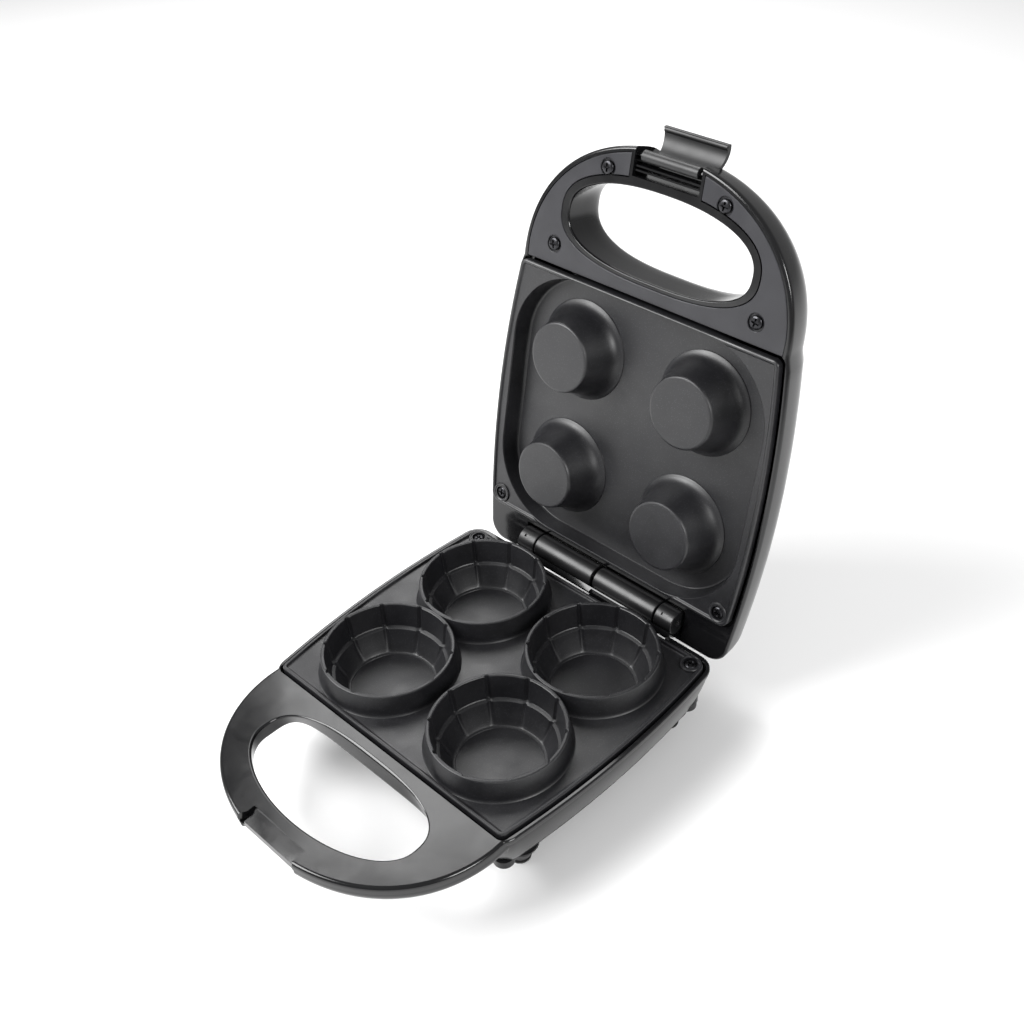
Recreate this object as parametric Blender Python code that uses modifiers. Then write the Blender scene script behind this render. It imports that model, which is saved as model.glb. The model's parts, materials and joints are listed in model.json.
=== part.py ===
"""Four-cup mini pie maker, lid open: every piece is one closed solid in metres, +Z up."""
import math

import bmesh
import bpy

MM = 0.001
GAP = 0.3 * MM

# Heights above the table.
COVER_Z = 12.0 * MM
SEAM_Z = 20.0 * MM
HANDLE_LOW_Z = 37.0 * MM
DECK_Z = 48.0 * MM
LIP_Z = 50.0 * MM
RIM_Z = 62.0 * MM
CUP_DEPTH = 30.4 * MM

# Heights in the lid when it is shut.
LID_LIP_Z = 50.5 * MM
LID_RIM_Z = 54.5 * MM
PAN_Z = 62.5 * MM
LID_CROWN_Z = 92.5 * MM

# Plan of the body: bowed sides, straight ends.
SIDE_HALF_WIDTH = 101.7 * MM
SIDE_BOW = 0.82
SIDE_BOW_Y = 12.0 * MM
TUB_FRONT = -88.5 * MM
TUB_BACK = 86.5 * MM
LID_BACK = 109.0 * MM
TUB_CORNER = 12.0 * MM
WALL = 2.6 * MM
TAPER = 7.0 * MM

# Mould plates.
PLATE_FRONT = -83.5 * MM
PLATE_BACK = 81.5 * MM
PLATE_INSET = 3.9 * MM
PLATE_THICK = 2.6 * MM
UPPER_PLATE_THICK = 1.9 * MM
PLATE_SKIRT = 5.0 * MM
LIP_WIDTH = 2.3 * MM
LIP_HEIGHT = 1.9 * MM
CUP_X = 44.4 * MM
CUP_Y = 38.9 * MM
CUP_RIM_RADIUS = 38.8 * MM
CUP_BASE_RADIUS = 40.8 * MM
GROOVES = 10
GROOVE_WIDTH = 2.2 * MM
GROOVE_PHASE = math.radians(-0.5)
PAN_HALF_WIDTH = 90.5 * MM
PAN_HALF_DEPTH = 81.2 * MM
PAN_MIDDLE_Y = -1.0 * MM
PAN_CORNER = 46.0 * MM
CONE_BASE_RADIUS = 30.4 * MM
CONE_TOP_RADIUS = 20.4 * MM
CONE_HEIGHT = 23.0 * MM
HEAD_WELL_RADIUS = 4.3 * MM
BOSS_RADIUS = 6.2 * MM

# Handles.
HANDLE_ROOT_Y = -84.5 * MM
HANDLE_HALF_WIDTH = 93.0 * MM
HANDLE_REACH = 82.5 * MM
GRIP_MIDDLE_Y = -118.0 * MM
GRIP_HALF_WIDTH = 61.8 * MM
GRIP_BACK = 25.8 * MM
GRIP_FRONT = 29.8 * MM
LID_GRIP_MIDDLE_Y = -119.5 * MM
LID_GRIP_HALF_WIDTH = 65.0 * MM
LID_GRIP_BACK = 23.7 * MM
LID_GRIP_FRONT = 27.3 * MM
PANEL_THICK = 2.4 * MM
PANEL_BACK_Y = -84.8 * MM
PANEL_SCREWS = [(39.0 * MM, -149.6 * MM), (70.2 * MM, -97.3 * MM)]

# Hinge.
HINGE_Y = 95.2 * MM
HINGE_Z = 51.7 * MM
LID_OPEN_ANGLE = math.radians(102.1)
BARREL_RADIUS = 6.8 * MM
BARREL_LENGTH = 47.0 * MM
KNUCKLE_LENGTH = 13.0 * MM
BARREL_GAP = 1.0 * MM
HINGE_NOTCH_HALF = 64.0 * MM
PIN_RADIUS = 2.0 * MM
PIN_PLAY = 0.1 * MM

# Latch.
LATCH_Y = -160.5 * MM
LATCH_Z = 58.3 * MM
LATCH_FLIP_ANGLE = math.radians(145.0)
LATCH_HALF_WIDTH = 19.3 * MM
LATCH_FLARE = 0.10
LATCH_LENGTH = 22.0 * MM
LATCH_HUB_RADIUS = 3.2 * MM
LATCH_PIN_RADIUS = 1.2 * MM
LATCH_BOW_RADIUS = 11.2 * MM
LATCH_BOW_OFFSET = 3.4 * MM
LATCH_DROP = 10.65 * MM
LATCH_THICK = 2.4 * MM
NOTCH_HALF_WIDTH = 22.2 * MM

# Screws, feet and inner pieces.
PLATE_SCREW = (86.4 * MM, 76.0 * MM)
LID_PLATE_SCREW = (86.4 * MM, 74.0 * MM)
SHANK_HOLE = 1.8 * MM
THREAD_HOLE = 1.6 * MM
FRONT_POST = (82.5 * MM, -76.0 * MM)
POST_RADIUS = 5.5 * MM
COVER_SCREW_WELL = 4.0 * MM
REFLECTOR_HALF_SIZE = (74.0 * MM, 58.0 * MM)
FOOT_X = 78.0 * MM
FOOT_FRONT_Y = -60.0 * MM
FOOT_BACK_Y = 68.0 * MM
FOOT_TIP_RADIUS = 6.5 * MM
FOOT_ROOT_RADIUS = 11.0 * MM
PAD_HEIGHT = 2.5 * MM
LAMP_X = 12.0 * MM
LAMP_Y = -58.0 * MM
LAMP_RADIUS = 4.0 * MM
BUSH_X = -62.0 * MM
BUSH_Z = 30.0 * MM
BUSH_HOLE_RADIUS = 5.4 * MM
CATCH_DEPTH = 11.7 * MM

# The origin sits under the middle of the opened appliance.
ORIGIN_Y = -7.3 * MM


def clear_scene():
    for item in list(bpy.data.objects):
        bpy.data.objects.remove(item)


def finish(name, solid, smooth_angle=35.0):
    """Name a solid's object and shade its round faces smooth."""
    solid.name = name
    solid.data.name = name
    for polygon in solid.data.polygons:
        polygon.use_smooth = True
    solid.data.set_sharp_from_angle(angle=math.radians(smooth_angle))
    return solid


def from_bmesh(mesh, name="solid"):
    bmesh.ops.recalc_face_normals(mesh, faces=mesh.faces)
    data = bpy.data.meshes.new(name)
    mesh.to_mesh(data)
    mesh.free()
    solid = bpy.data.objects.new(name, data)
    bpy.context.scene.collection.objects.link(solid)
    return solid


def baked(solid):
    """Replace a solid's mesh by the result of its modifiers."""
    graph = bpy.context.evaluated_depsgraph_get()
    data = bpy.data.meshes.new_from_object(solid.evaluated_get(graph))
    solid.modifiers.clear()
    old = solid.data
    solid.data = data
    if isinstance(old, bpy.types.Mesh):
        bpy.data.meshes.remove(old)
    return solid


def combine(target, tool, operation):
    """Union or difference of two solids; the tool is used up."""
    step = target.modifiers.new("combine", "BOOLEAN")
    step.operation = operation
    step.solver = "EXACT"
    step.object = tool
    baked(target)
    bpy.data.objects.remove(tool)
    return target


def join(target, *tools):
    for tool in tools:
        combine(target, tool, "UNION")
    return target


def cut(target, *tools):
    for tool in tools:
        combine(target, tool, "DIFFERENCE")
    return target


def loft(sections):
    """A capped solid through flat outlines that share one number of points."""
    mesh = bmesh.new()
    outline, height = sections[0]
    face = mesh.faces.new([mesh.verts.new((x, y, height)) for x, y in outline])
    ring = list(face.verts)
    for step, (outline, height) in enumerate(sections[1:]):
        grown = bmesh.ops.extrude_face_region(mesh, geom=[face])["geom"]
        if step > 0:
            bmesh.ops.delete(mesh, geom=[face], context="FACES_ONLY")
        face = next(part for part in grown if isinstance(part, bmesh.types.BMFace))
        corners = {tuple(corner.co): corner for corner in face.verts}
        ring = [corners[tuple(corner.co)] for corner in ring]
        for corner, (x, y) in zip(ring, outline):
            corner.co = (x, y, height)
    return from_bmesh(mesh)


def prism(outline, low, high):
    return loft([(outline, low), (outline, high)])


def turned(profile, x=0.0, y=0.0, z=0.0, steps=48):
    """A closed profile of (radius, height) points turned about the vertical."""
    mesh = bmesh.new()
    corners = [mesh.verts.new((radius, 0.0, height)) for radius, height in profile]
    for first, second in zip(corners, corners[1:]):
        mesh.edges.new((first, second))
    solid = from_bmesh(mesh)
    screw = solid.modifiers.new("turn", "SCREW")
    screw.axis = "Z"
    screw.angle = math.tau
    screw.steps = steps
    screw.render_steps = steps
    screw.use_merge_vertices = True
    screw.merge_threshold = 0.00001
    baked(solid)
    mesh = bmesh.new()
    mesh.from_mesh(solid.data)
    bmesh.ops.remove_doubles(mesh, verts=mesh.verts, dist=0.00001)
    bmesh.ops.recalc_face_normals(mesh, faces=mesh.faces)
    bmesh.ops.translate(mesh, vec=(x, y, z), verts=mesh.verts)
    mesh.to_mesh(solid.data)
    mesh.free()
    return solid


def block(low, high):
    """An upright box between two corners."""
    mesh = bmesh.new()
    bmesh.ops.create_cube(mesh, size=1.0)
    size = [b - a for a, b in zip(low, high)]
    middle = [(a + b) / 2 for a, b in zip(low, high)]
    bmesh.ops.scale(mesh, vec=size, verts=mesh.verts)
    bmesh.ops.translate(mesh, vec=middle, verts=mesh.verts)
    return from_bmesh(mesh)


def rod(radius, start, end, sides=20):
    """A cylinder between two points that share two coordinates."""
    mesh = bmesh.new()
    length = math.dist(start, end)
    bmesh.ops.create_cone(mesh, cap_ends=True, segments=sides, radius1=radius,
                          radius2=radius, depth=length)
    along = [abs(b - a) > 1e-6 for a, b in zip(start, end)]
    if along[0]:
        turn_about(mesh, "Y")
    if along[1]:
        turn_about(mesh, "X")
    middle = [(a + b) / 2 for a, b in zip(start, end)]
    bmesh.ops.translate(mesh, vec=middle, verts=mesh.verts)
    return from_bmesh(mesh)


def turn_about(mesh, axis):
    """Quarter turn of a mesh that stands along Z, to lie along X or Y."""
    for corner in mesh.verts:
        x, y, z = corner.co
        corner.co = (z, y, -x) if axis == "Y" else (x, z, -y)


def peg(radius, x, y, low, high, sides=12):
    return rod(radius, (x, y, low), (x, y, high), sides)


def arc(x, y, radius, start, end, steps):
    """Points of a circular arc, with angles in degrees."""
    angles = [math.radians(start + (end - start) * i / steps) for i in range(steps + 1)]
    return [(x + radius * math.cos(a), y + radius * math.sin(a)) for a in angles]


def half_width(y, inset):
    return SIDE_HALF_WIDTH - inset - SIDE_BOW * (y - SIDE_BOW_Y) ** 2


def side_line(start, end, inset, steps):
    stations = [start + (end - start) * i / steps for i in range(1, steps)]
    return [(half_width(y, inset), y) for y in stations]


def mirrored(points):
    return [(-x, y) for x, y in reversed(points)]


def bowed_quad(front, back, inset, front_radius, back_radius, corner_steps=4, side_steps=5):
    """The body's plan between two straight ends, with rounded corners."""
    low = front + front_radius
    high = back - back_radius
    right = arc(half_width(low, inset) - front_radius, low, front_radius, -90, 0, corner_steps)
    right += side_line(low, high, inset, side_steps)
    right += arc(half_width(high, inset) - back_radius, high, back_radius, 0, 90, corner_steps)
    return right + mirrored(right)


def tub_outline(inset, front=TUB_FRONT, back=TUB_BACK, corner=TUB_CORNER):
    return bowed_quad(front + inset, back - inset, inset, corner, corner)


def plate_outline(inset):
    """Outline of a mould plate, drawn in by an inset from its edge."""
    front_radius = 4.0 * MM
    back_radius = 7.0 * MM
    return bowed_quad(PLATE_FRONT + inset, PLATE_BACK - inset, PLATE_INSET + inset,
                      front_radius, back_radius)


def seat_outline():
    """The opening that a mould plate sits in."""
    clearance = 1.3 * MM
    return bowed_quad(PLATE_FRONT - clearance, PLATE_BACK + clearance,
                      PLATE_INSET - clearance, 4.5 * MM, 7.5 * MM)


def bow_arc(middle_y, half_x, reach, power, steps):
    """Half of a squarish ellipse on one side of a middle line."""
    points = []
    for i in range(steps + 1):
        angle = math.pi * i / steps
        across = math.copysign(abs(math.cos(angle)) ** (2 / power), math.cos(angle))
        along = abs(math.sin(angle)) ** (2 / power)
        points.append((half_x * across, middle_y + reach * along))
    return points


def grip_outline(middle_y, half_x, back, front, front_power, grow=0.0, steps=14):
    """The finger opening of a handle: squarish behind, round in front."""
    rear = bow_arc(middle_y, half_x + grow, back + grow, 2.6, steps)
    nose = bow_arc(middle_y, half_x + grow, -(front + grow), front_power, steps)
    return rear + list(reversed(nose))[1:-1]


def base_grip(grow=0.0):
    return grip_outline(GRIP_MIDDLE_Y, GRIP_HALF_WIDTH, GRIP_BACK, GRIP_FRONT, 2.0, grow)


def lid_grip(grow=0.0):
    return grip_outline(LID_GRIP_MIDDLE_Y, LID_GRIP_HALF_WIDTH, LID_GRIP_BACK,
                        LID_GRIP_FRONT, 2.3, grow)


def handle_nose(inset, steps=24):
    """The front edge of a handle, from its left root to its right one."""
    nose = bow_arc(HANDLE_ROOT_Y, HANDLE_HALF_WIDTH - inset, -(HANDLE_REACH - inset), 2.15, steps)
    return list(reversed(nose))


def handle_outline(inset, root_y=-80.0 * MM):
    """A handle's plan, closed by a straight line across its root."""
    nose = [point for point in handle_nose(inset) if point[1] < root_y - 0.5 * MM]
    return nose + [(nose[-1][0], root_y), (nose[0][0], root_y)]


def shell_outline(inset):
    """The lid's whole plan, body and handle together."""
    high = LID_BACK - inset - TUB_CORNER
    right = side_line(HANDLE_ROOT_Y, high, inset, 10)
    right += arc(half_width(high, inset) - TUB_CORNER, high, TUB_CORNER, 0, 90, 6)
    return handle_nose(inset) + right + mirrored(right)


def phillips_screw(x, y, seat, facing, head_radius=3.6 * MM, length=9.0 * MM):
    """A pan-head screw whose head stands on a seat and faces up or down."""
    head = 2.0 * MM
    shank = 1.5 * MM
    profile = [(0.0, -length), (shank, -length), (shank, 0.0), (head_radius, 0.0),
               (head_radius, head * 0.55), (head_radius * 0.72, head), (0.0, head)]
    screw = turned(profile, steps=9)
    slot = 0.55 * MM
    reach = head_radius * 0.55
    depth = head * 0.45
    across = block((-reach, -slot, depth), (reach, slot, head * 2))
    along = block((-slot, -reach, depth), (slot, reach, head * 2))
    cut(screw, across, along)
    for corner in screw.data.vertices:
        corner.co.z = seat + facing * corner.co.z
        corner.co.x += x
        corner.co.y = y + facing * corner.co.y
    return screw


def four_cups():
    return [(sx * CUP_X, sy * CUP_Y) for sy in (-1, 1) for sx in (-1, 1)]


def cup_outline(x, y, radius, groove_depth):
    """A circle scored by evenly spaced V grooves."""
    points = []
    sector = math.tau / GROOVES
    half_groove = GROOVE_WIDTH / 2 / radius
    for i in range(GROOVES):
        start = GROOVE_PHASE + i * sector
        turns = (-half_groove, 0.0, half_groove, sector / 2)
        for turn, depth in zip(turns, (0.0, groove_depth, 0.0, 0.0)):
            reach = radius + depth
            points.append((x + reach * math.cos(start + turn), y + reach * math.sin(start + turn)))
    return points


def cup_hollow(x, y):
    """The inside of a cup: round floor, ledge half way up, grooved wall."""
    floor = -CUP_DEPTH / MM
    steps = [(25.5, 0.0, floor), (29.4, 0.0, floor + 1.5), (31.6, 0.4, floor + 4.8),
             (32.9, 1.3, -16.4), (34.3, 1.3, -15.4), (36.9, 1.3, -0.6), (37.5, 1.3, 1.0)]
    return loft([(cup_outline(x, y, radius * MM, depth * MM), RIM_Z + rise * MM)
                 for radius, depth, rise in steps])


def cup_wall(x, y):
    """The outside of a cup, from under its floor to its rim."""
    floor = RIM_Z - CUP_DEPTH
    under = floor - PLATE_THICK
    profile = [(0.0, under), (27.5 * MM, under), (33.0 * MM, floor + 1.0 * MM),
               (35.0 * MM, floor + 6.0 * MM), (36.8 * MM, LIP_Z - 5.0 * MM),
               (CUP_BASE_RADIUS, LIP_Z - 4.0 * MM), (CUP_BASE_RADIUS, LIP_Z - 2.4 * MM),
               (CUP_RIM_RADIUS + GAP, RIM_Z - 1.0 * MM), (CUP_RIM_RADIUS - GAP, RIM_Z), (0.0, RIM_Z)]
    return turned(profile, x, y, steps=28)


def lower_plate():
    plate = prism(plate_outline(0.0), LIP_Z - PLATE_SKIRT, LIP_Z)
    inner = prism(plate_outline(LIP_WIDTH), LIP_Z - LIP_HEIGHT, LIP_Z + 5 * MM)
    under = prism(plate_outline(LIP_WIDTH), LIP_Z - 9 * MM, LIP_Z - LIP_HEIGHT - PLATE_THICK)
    cut(plate, inner, under)
    for x, y in four_cups():
        join(plate, cup_wall(x, y))
    for x, y in four_cups():
        cut(plate, cup_hollow(x, y))
    for side in (-1, 1):
        x, y = side * PLATE_SCREW[0], PLATE_SCREW[1]
        join(plate, peg(BOSS_RADIUS, x, y, LIP_Z - PLATE_SKIRT, LIP_Z - 0.4 * MM))
        cut(plate, peg(HEAD_WELL_RADIUS, x, y, LIP_Z - 3.0 * MM, LIP_Z + 3 * MM),
            peg(SHANK_HOLE, x, y, LIP_Z - 12 * MM, LIP_Z))
    return finish("lower_mould_plate", plate)


def pan_outline(side_inset, end_inset):
    """The lid plate's sunken pan, drawn in at its sides and at its ends."""
    corner = PAN_CORNER - side_inset / 2
    half_x = PAN_HALF_WIDTH - side_inset - corner
    half_y = PAN_HALF_DEPTH - end_inset - corner
    right = arc(half_x, PAN_MIDDLE_Y - half_y, corner, -90, 0, 8)
    right += arc(half_x, PAN_MIDDLE_Y + half_y, corner, 0, 90, 8)
    return right + mirrored(right)


def pan_loft(steps):
    """A solid through pan outlines, from (side inset, end inset, height) in millimetres and metres."""
    return loft([(pan_outline(side * MM, end * MM), height) for side, end, height in steps])


def cone_former(x, y):
    """A round former that presses a pastry case into its cup, flared at its root."""
    tip = PAN_Z - CONE_HEIGHT
    root = PAN_Z + 1.2 * MM
    profile = [(0.0, tip), (CONE_TOP_RADIUS - 0.4 * MM, tip), (CONE_TOP_RADIUS + 0.6 * MM, tip + 0.9 * MM),
               (24.2 * MM, PAN_Z - 10.0 * MM), (25.6 * MM, PAN_Z - 5.0 * MM),
               (27.6 * MM, PAN_Z - 1.6 * MM), (CONE_BASE_RADIUS, PAN_Z - 0.2 * MM),
               (CONE_BASE_RADIUS, root), (0.0, root)]
    return turned(profile, x, y, steps=28)


def cone_core(x, y):
    """The hollow behind a cone former."""
    low = PAN_Z - CONE_HEIGHT + 2.4 * MM
    high = PAN_Z + UPPER_PLATE_THICK + 1.0 * MM
    return turned([(0.0, low), (CONE_TOP_RADIUS - 2.6 * MM, low), (21.8 * MM, PAN_Z - 9.0 * MM),
                   (24.0 * MM, high), (0.0, high)], x, y, steps=16)


def upper_plate():
    back = LID_LIP_Z + PLATE_SKIRT
    flange = LID_LIP_Z + 1.2 * MM
    pan_top = PAN_Z + UPPER_PLATE_THICK
    plate = prism(plate_outline(0.0), LID_LIP_Z, back)
    cut(plate, prism(plate_outline(LIP_WIDTH), LID_LIP_Z - 5 * MM, flange),
        prism(plate_outline(LIP_WIDTH), flange + UPPER_PLATE_THICK, back + 5 * MM))
    join(plate, pan_loft([(-0.9, -1.0, flange + 0.1 * MM), (0.9, -0.6, PAN_Z - 1 * MM), (2.4, 0.6, pan_top)]))
    cut(plate, pan_loft([(-0.6, -0.2, flange - 3 * MM), (0.0, 0.0, flange), (2.8, 0.8, PAN_Z - 1.4 * MM),
                         (3.8, 1.4, PAN_Z)]))
    for x, y in four_cups():
        join(plate, cone_former(x, y))
        cut(plate, cone_core(x, y))
    for side in (-1, 1):
        x, y = side * LID_PLATE_SCREW[0], LID_PLATE_SCREW[1]
        join(plate, peg(BOSS_RADIUS, x, y, LID_LIP_Z + 0.4 * MM, back))
        cut(plate, peg(HEAD_WELL_RADIUS, x, y, LID_LIP_Z - 2 * MM, LID_LIP_Z + 2.8 * MM),
            peg(SHANK_HOLE, x, y, LID_LIP_Z, back + 2 * MM))
    return finish("upper_mould_plate", plate)


def hinge_part(start, end):
    return rod(BARREL_RADIUS, (start, HINGE_Y, HINGE_Z), (end, HINGE_Y, HINGE_Z), 24)


def hinge_bore(start, end):
    return rod(PIN_RADIUS + PIN_PLAY, (start, HINGE_Y, HINGE_Z), (end, HINGE_Y, HINGE_Z))


def base_housing():
    tub = loft([(tub_outline(TAPER), SEAM_Z), (tub_outline(1.4 * MM), 40 * MM), (tub_outline(0.0), DECK_Z)])
    handle = loft([(handle_outline(3.0 * MM), HANDLE_LOW_Z),
                   (handle_outline(0.8 * MM), HANDLE_LOW_Z + 2.2 * MM),
                   (handle_outline(0.0), HANDLE_LOW_Z + 4.5 * MM),
                   (handle_outline(0.0), DECK_Z - 0.9 * MM), (handle_outline(0.9 * MM), DECK_Z)])
    housing = join(tub, handle)
    room = loft([(tub_outline(TAPER + WALL), SEAM_Z - 1 * MM), (tub_outline(1.4 * MM + WALL), 40 * MM),
                 (tub_outline(1.2 * MM + WALL), 43 * MM)])
    cut(housing, room, prism(seat_outline(), 42 * MM, DECK_Z + 2 * MM))
    cut(housing, loft([(base_grip(0.6 * MM), HANDLE_LOW_Z - 1 * MM), (base_grip(), HANDLE_LOW_Z + 2 * MM),
                       (base_grip(), DECK_Z - 0.8 * MM), (base_grip(1.6 * MM), DECK_Z + 0.8 * MM)]))
    carve_catch(housing)
    add_base_posts(housing)
    add_base_barrels(housing)
    cut(housing, rod(BUSH_HOLE_RADIUS, (BUSH_X, 70 * MM, BUSH_Z), (BUSH_X, 95 * MM, BUSH_Z)))
    return finish("base_housing", housing)


def carve_catch(housing):
    """The notch in the handle's nose, with the edge that the latch hooks under."""
    front = HANDLE_ROOT_Y - HANDLE_REACH
    half = NOTCH_HALF_WIDTH
    back = front + CATCH_DEPTH
    out = front - 2 * MM
    cut(housing, block((1 * MM - half, out, DECK_Z - 4 * MM), (half - 1 * MM, back, DECK_Z + 2 * MM)),
        block((-half, out, DECK_Z - 8 * MM), (half, front + 3 * MM, DECK_Z + 2 * MM)),
        block((-half, out, HANDLE_LOW_Z - 2 * MM), (half, back, HANDLE_LOW_Z + 3.5 * MM)))


def add_base_posts(housing):
    """Screw posts for the cover below and the mould plate above."""
    for side in (-1, 1):
        for x, y in (PLATE_SCREW, FRONT_POST):
            join(housing, peg(POST_RADIUS, side * x, y, SEAM_Z, LIP_Z - PLATE_SKIRT - GAP))
            cut(housing, peg(THREAD_HOLE, side * x, y, SEAM_Z - 1 * MM, 31 * MM))
        cut(housing, peg(SHANK_HOLE, side * PLATE_SCREW[0], PLATE_SCREW[1], 34 * MM, LIP_Z))


def add_base_barrels(housing):
    """The base's long barrel on the right and its end knuckle on the left."""
    far = BARREL_GAP + BARREL_LENGTH
    for start, end in ((BARREL_GAP, far), (-far - BARREL_GAP - KNUCKLE_LENGTH, -far - BARREL_GAP)):
        web = block((start, TUB_BACK - 2.0 * MM, DECK_Z - 4.5 * MM), (end, HINGE_Y, DECK_Z + 1.0 * MM))
        join(housing, web, hinge_part(start, end))
        cut(housing, hinge_bore(start - 1 * MM, end + 1 * MM))


def base_cover():
    top = SEAM_Z - GAP
    cover = loft([(tub_outline(TAPER + 10 * MM), COVER_Z),
                  (tub_outline(TAPER + 3.0 * MM), COVER_Z + 3.5 * MM), (tub_outline(TAPER), top)])
    cut(cover, loft([(tub_outline(TAPER + 11 * MM), COVER_Z + 2.4 * MM),
                     (tub_outline(TAPER + 3.4 * MM), top + 1 * MM)]))
    for side in (-1, 1):
        for x, y in (PLATE_SCREW, FRONT_POST):
            join(cover, peg(POST_RADIUS + 0.5 * MM, side * x * 0.99, y * 0.99, COVER_Z + 3.0 * MM, top))
            cut(cover, peg(THREAD_HOLE, side * x, y, COVER_Z - 2 * MM, top + 2 * MM),
                peg(COVER_SCREW_WELL, side * x, y, COVER_Z - 2 * MM, COVER_Z + 5.0 * MM))
        for y in (FOOT_FRONT_Y, FOOT_BACK_Y):
            leg = [(0.0, PAD_HEIGHT), (FOOT_TIP_RADIUS, PAD_HEIGHT), (FOOT_ROOT_RADIUS, COVER_Z + 2.0 * MM),
                   (0.0, COVER_Z + 2.0 * MM)]
            join(cover, turned(leg, side * FOOT_X, y, steps=20))
            cut(cover, peg(3.0 * MM + GAP, side * FOOT_X, y, PAD_HEIGHT - 1 * MM, PAD_HEIGHT + 4 * MM))
    return finish("base_cover", cover)


def foot_pad(x, y):
    """A rubber pad with a stub that plugs into its foot."""
    tip = FOOT_TIP_RADIUS
    top = PAD_HEIGHT - GAP
    profile = [(0.0, 0.0), (tip - 0.9 * MM, 0.0), (tip - 0.2 * MM, 0.8 * MM), (tip, top), (3.0 * MM, top),
               (3.0 * MM, PAD_HEIGHT + 3 * MM), (0.0, PAD_HEIGHT + 3 * MM)]
    return turned(profile, x, y, steps=18)


def tube(points, radius):
    """A round tube along a path, with closed ends."""
    path = bpy.data.curves.new("path", "CURVE")
    path.dimensions = "3D"
    path.bevel_depth = radius
    path.bevel_resolution = 2
    path.use_fill_caps = True
    line = path.splines.new("POLY")
    line.points.add(len(points) - 1)
    for spot, (x, y, z) in zip(line.points, points):
        spot.co = (x, y, z, 1.0)
    solid = bpy.data.objects.new("tube", path)
    bpy.context.scene.collection.objects.link(solid)
    graph = bpy.context.evaluated_depsgraph_get()
    data = bpy.data.meshes.new_from_object(solid.evaluated_get(graph))
    bpy.data.objects.remove(solid)
    mesh = bmesh.new()
    mesh.from_mesh(data)
    bmesh.ops.remove_doubles(mesh, verts=mesh.verts, dist=0.00001)
    bpy.data.meshes.remove(data)
    return from_bmesh(mesh)


def element_path(z, half_x, half_y, corner, end_y):
    """A loop with both ends led out side by side at the back."""
    plan = [(9 * MM, end_y), (9 * MM, half_y + 5 * MM)]
    plan += arc(14 * MM, half_y + 5 * MM, 5 * MM, 180, 270, 4)
    plan += arc(half_x - corner, half_y - corner, corner, 90, 0, 6)
    plan += arc(half_x - corner, corner - half_y, corner, 0, -90, 6)
    plan += mirrored(plan)
    return [(x, y, z) for x, y in plan]


def heating_element(name, z, tube_radius=3.0 * MM):
    path = element_path(z, 46 * MM, 40 * MM, 26 * MM, 62 * MM)
    return finish(name, tube(path, tube_radius))


def reflector_outline(inset):
    corner = 16 * MM
    half_x = REFLECTOR_HALF_SIZE[0] - inset - corner
    half_y = REFLECTOR_HALF_SIZE[1] - inset - corner
    right = arc(half_x, -half_y, corner, -90, 0, 5) + arc(half_x, half_y, corner, 0, 90, 5)
    return right + mirrored(right)


def reflector(name, low, high):
    """A thin sheet pan with a turned edge, behind a heating element."""
    thick = 0.8 * MM
    slope = 2.0 * MM
    up = 1 if high > low else -1
    pan = loft([(reflector_outline(slope), low), (reflector_outline(0.0), high)])
    cut(pan, loft([(reflector_outline(slope + thick), low + up * thick),
                   (reflector_outline(thick * 0.8), high + up * 0.5 * MM)]))
    return finish(name, pan)


def thermostat(name, z_flange, up):
    """A snap disc in a cup with a collar and two tabs."""
    profile = [(0.0, 0.0), (9.0 * MM, 0.0), (9.0 * MM, 1.6 * MM), (7.0 * MM, 1.6 * MM),
               (7.0 * MM, 5.6 * MM), (0.0, 5.6 * MM)]
    disc = turned(profile, steps=20)
    tabs = [block((side * 3.4 * MM - 1.5 * MM, -0.4 * MM, 5.0 * MM),
                  (side * 3.4 * MM + 1.5 * MM, 0.4 * MM, 6.6 * MM)) for side in (-1, 1)]
    join(disc, *tabs)
    for corner in disc.data.vertices:
        corner.co.z = z_flange + up * corner.co.z
        corner.co.x *= up
    return finish(name, disc)


def terminal_block():
    body = block((-16 * MM, 50 * MM, 14.9 * MM), (16 * MM, 59 * MM, 20.4 * MM))
    for i in (-1, 0, 1):
        cut(body, peg(2.2 * MM, i * 9.5 * MM, 54.5 * MM, 18.0 * MM, 22 * MM, 16))
    return finish("terminal_block", body)


def cord_bush():
    """The moulded gland in the back wall that a lead would leave by."""
    bore = 2.6 * MM
    groove = 5.0 * MM
    profile = [(bore, 0.0), (6.8 * MM, 0.0), (6.8 * MM, 1.8 * MM), (groove, 2.2 * MM), (groove, 10.0 * MM),
               (6.6 * MM, 10.4 * MM), (6.6 * MM, 12.0 * MM), (4.6 * MM, 18.0 * MM), (bore, 18.0 * MM),
               (bore, 0.0)]
    bush = turned(profile, steps=18)
    outer_wall = half_back(BUSH_Z)
    for corner in bush.data.vertices:
        x, y, z = corner.co
        corner.co = (BUSH_X + x, outer_wall - 7.6 * MM + z, BUSH_Z - y)
    return finish("cord_bush", bush)


def half_back(z):
    """Where the tub's back wall stands at a height below the deck."""
    rise = (z - SEAM_Z) / (40 * MM - SEAM_Z)
    return TUB_BACK - TAPER + (TAPER - 1.4 * MM) * rise


def hinge_pin():
    end = BARREL_GAP * 2 + BARREL_LENGTH + KNUCKLE_LENGTH - 0.5 * MM
    return finish("hinge_pin", rod(PIN_RADIUS, (-end, HINGE_Y, HINGE_Z), (end, HINGE_Y, HINGE_Z)))


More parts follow.
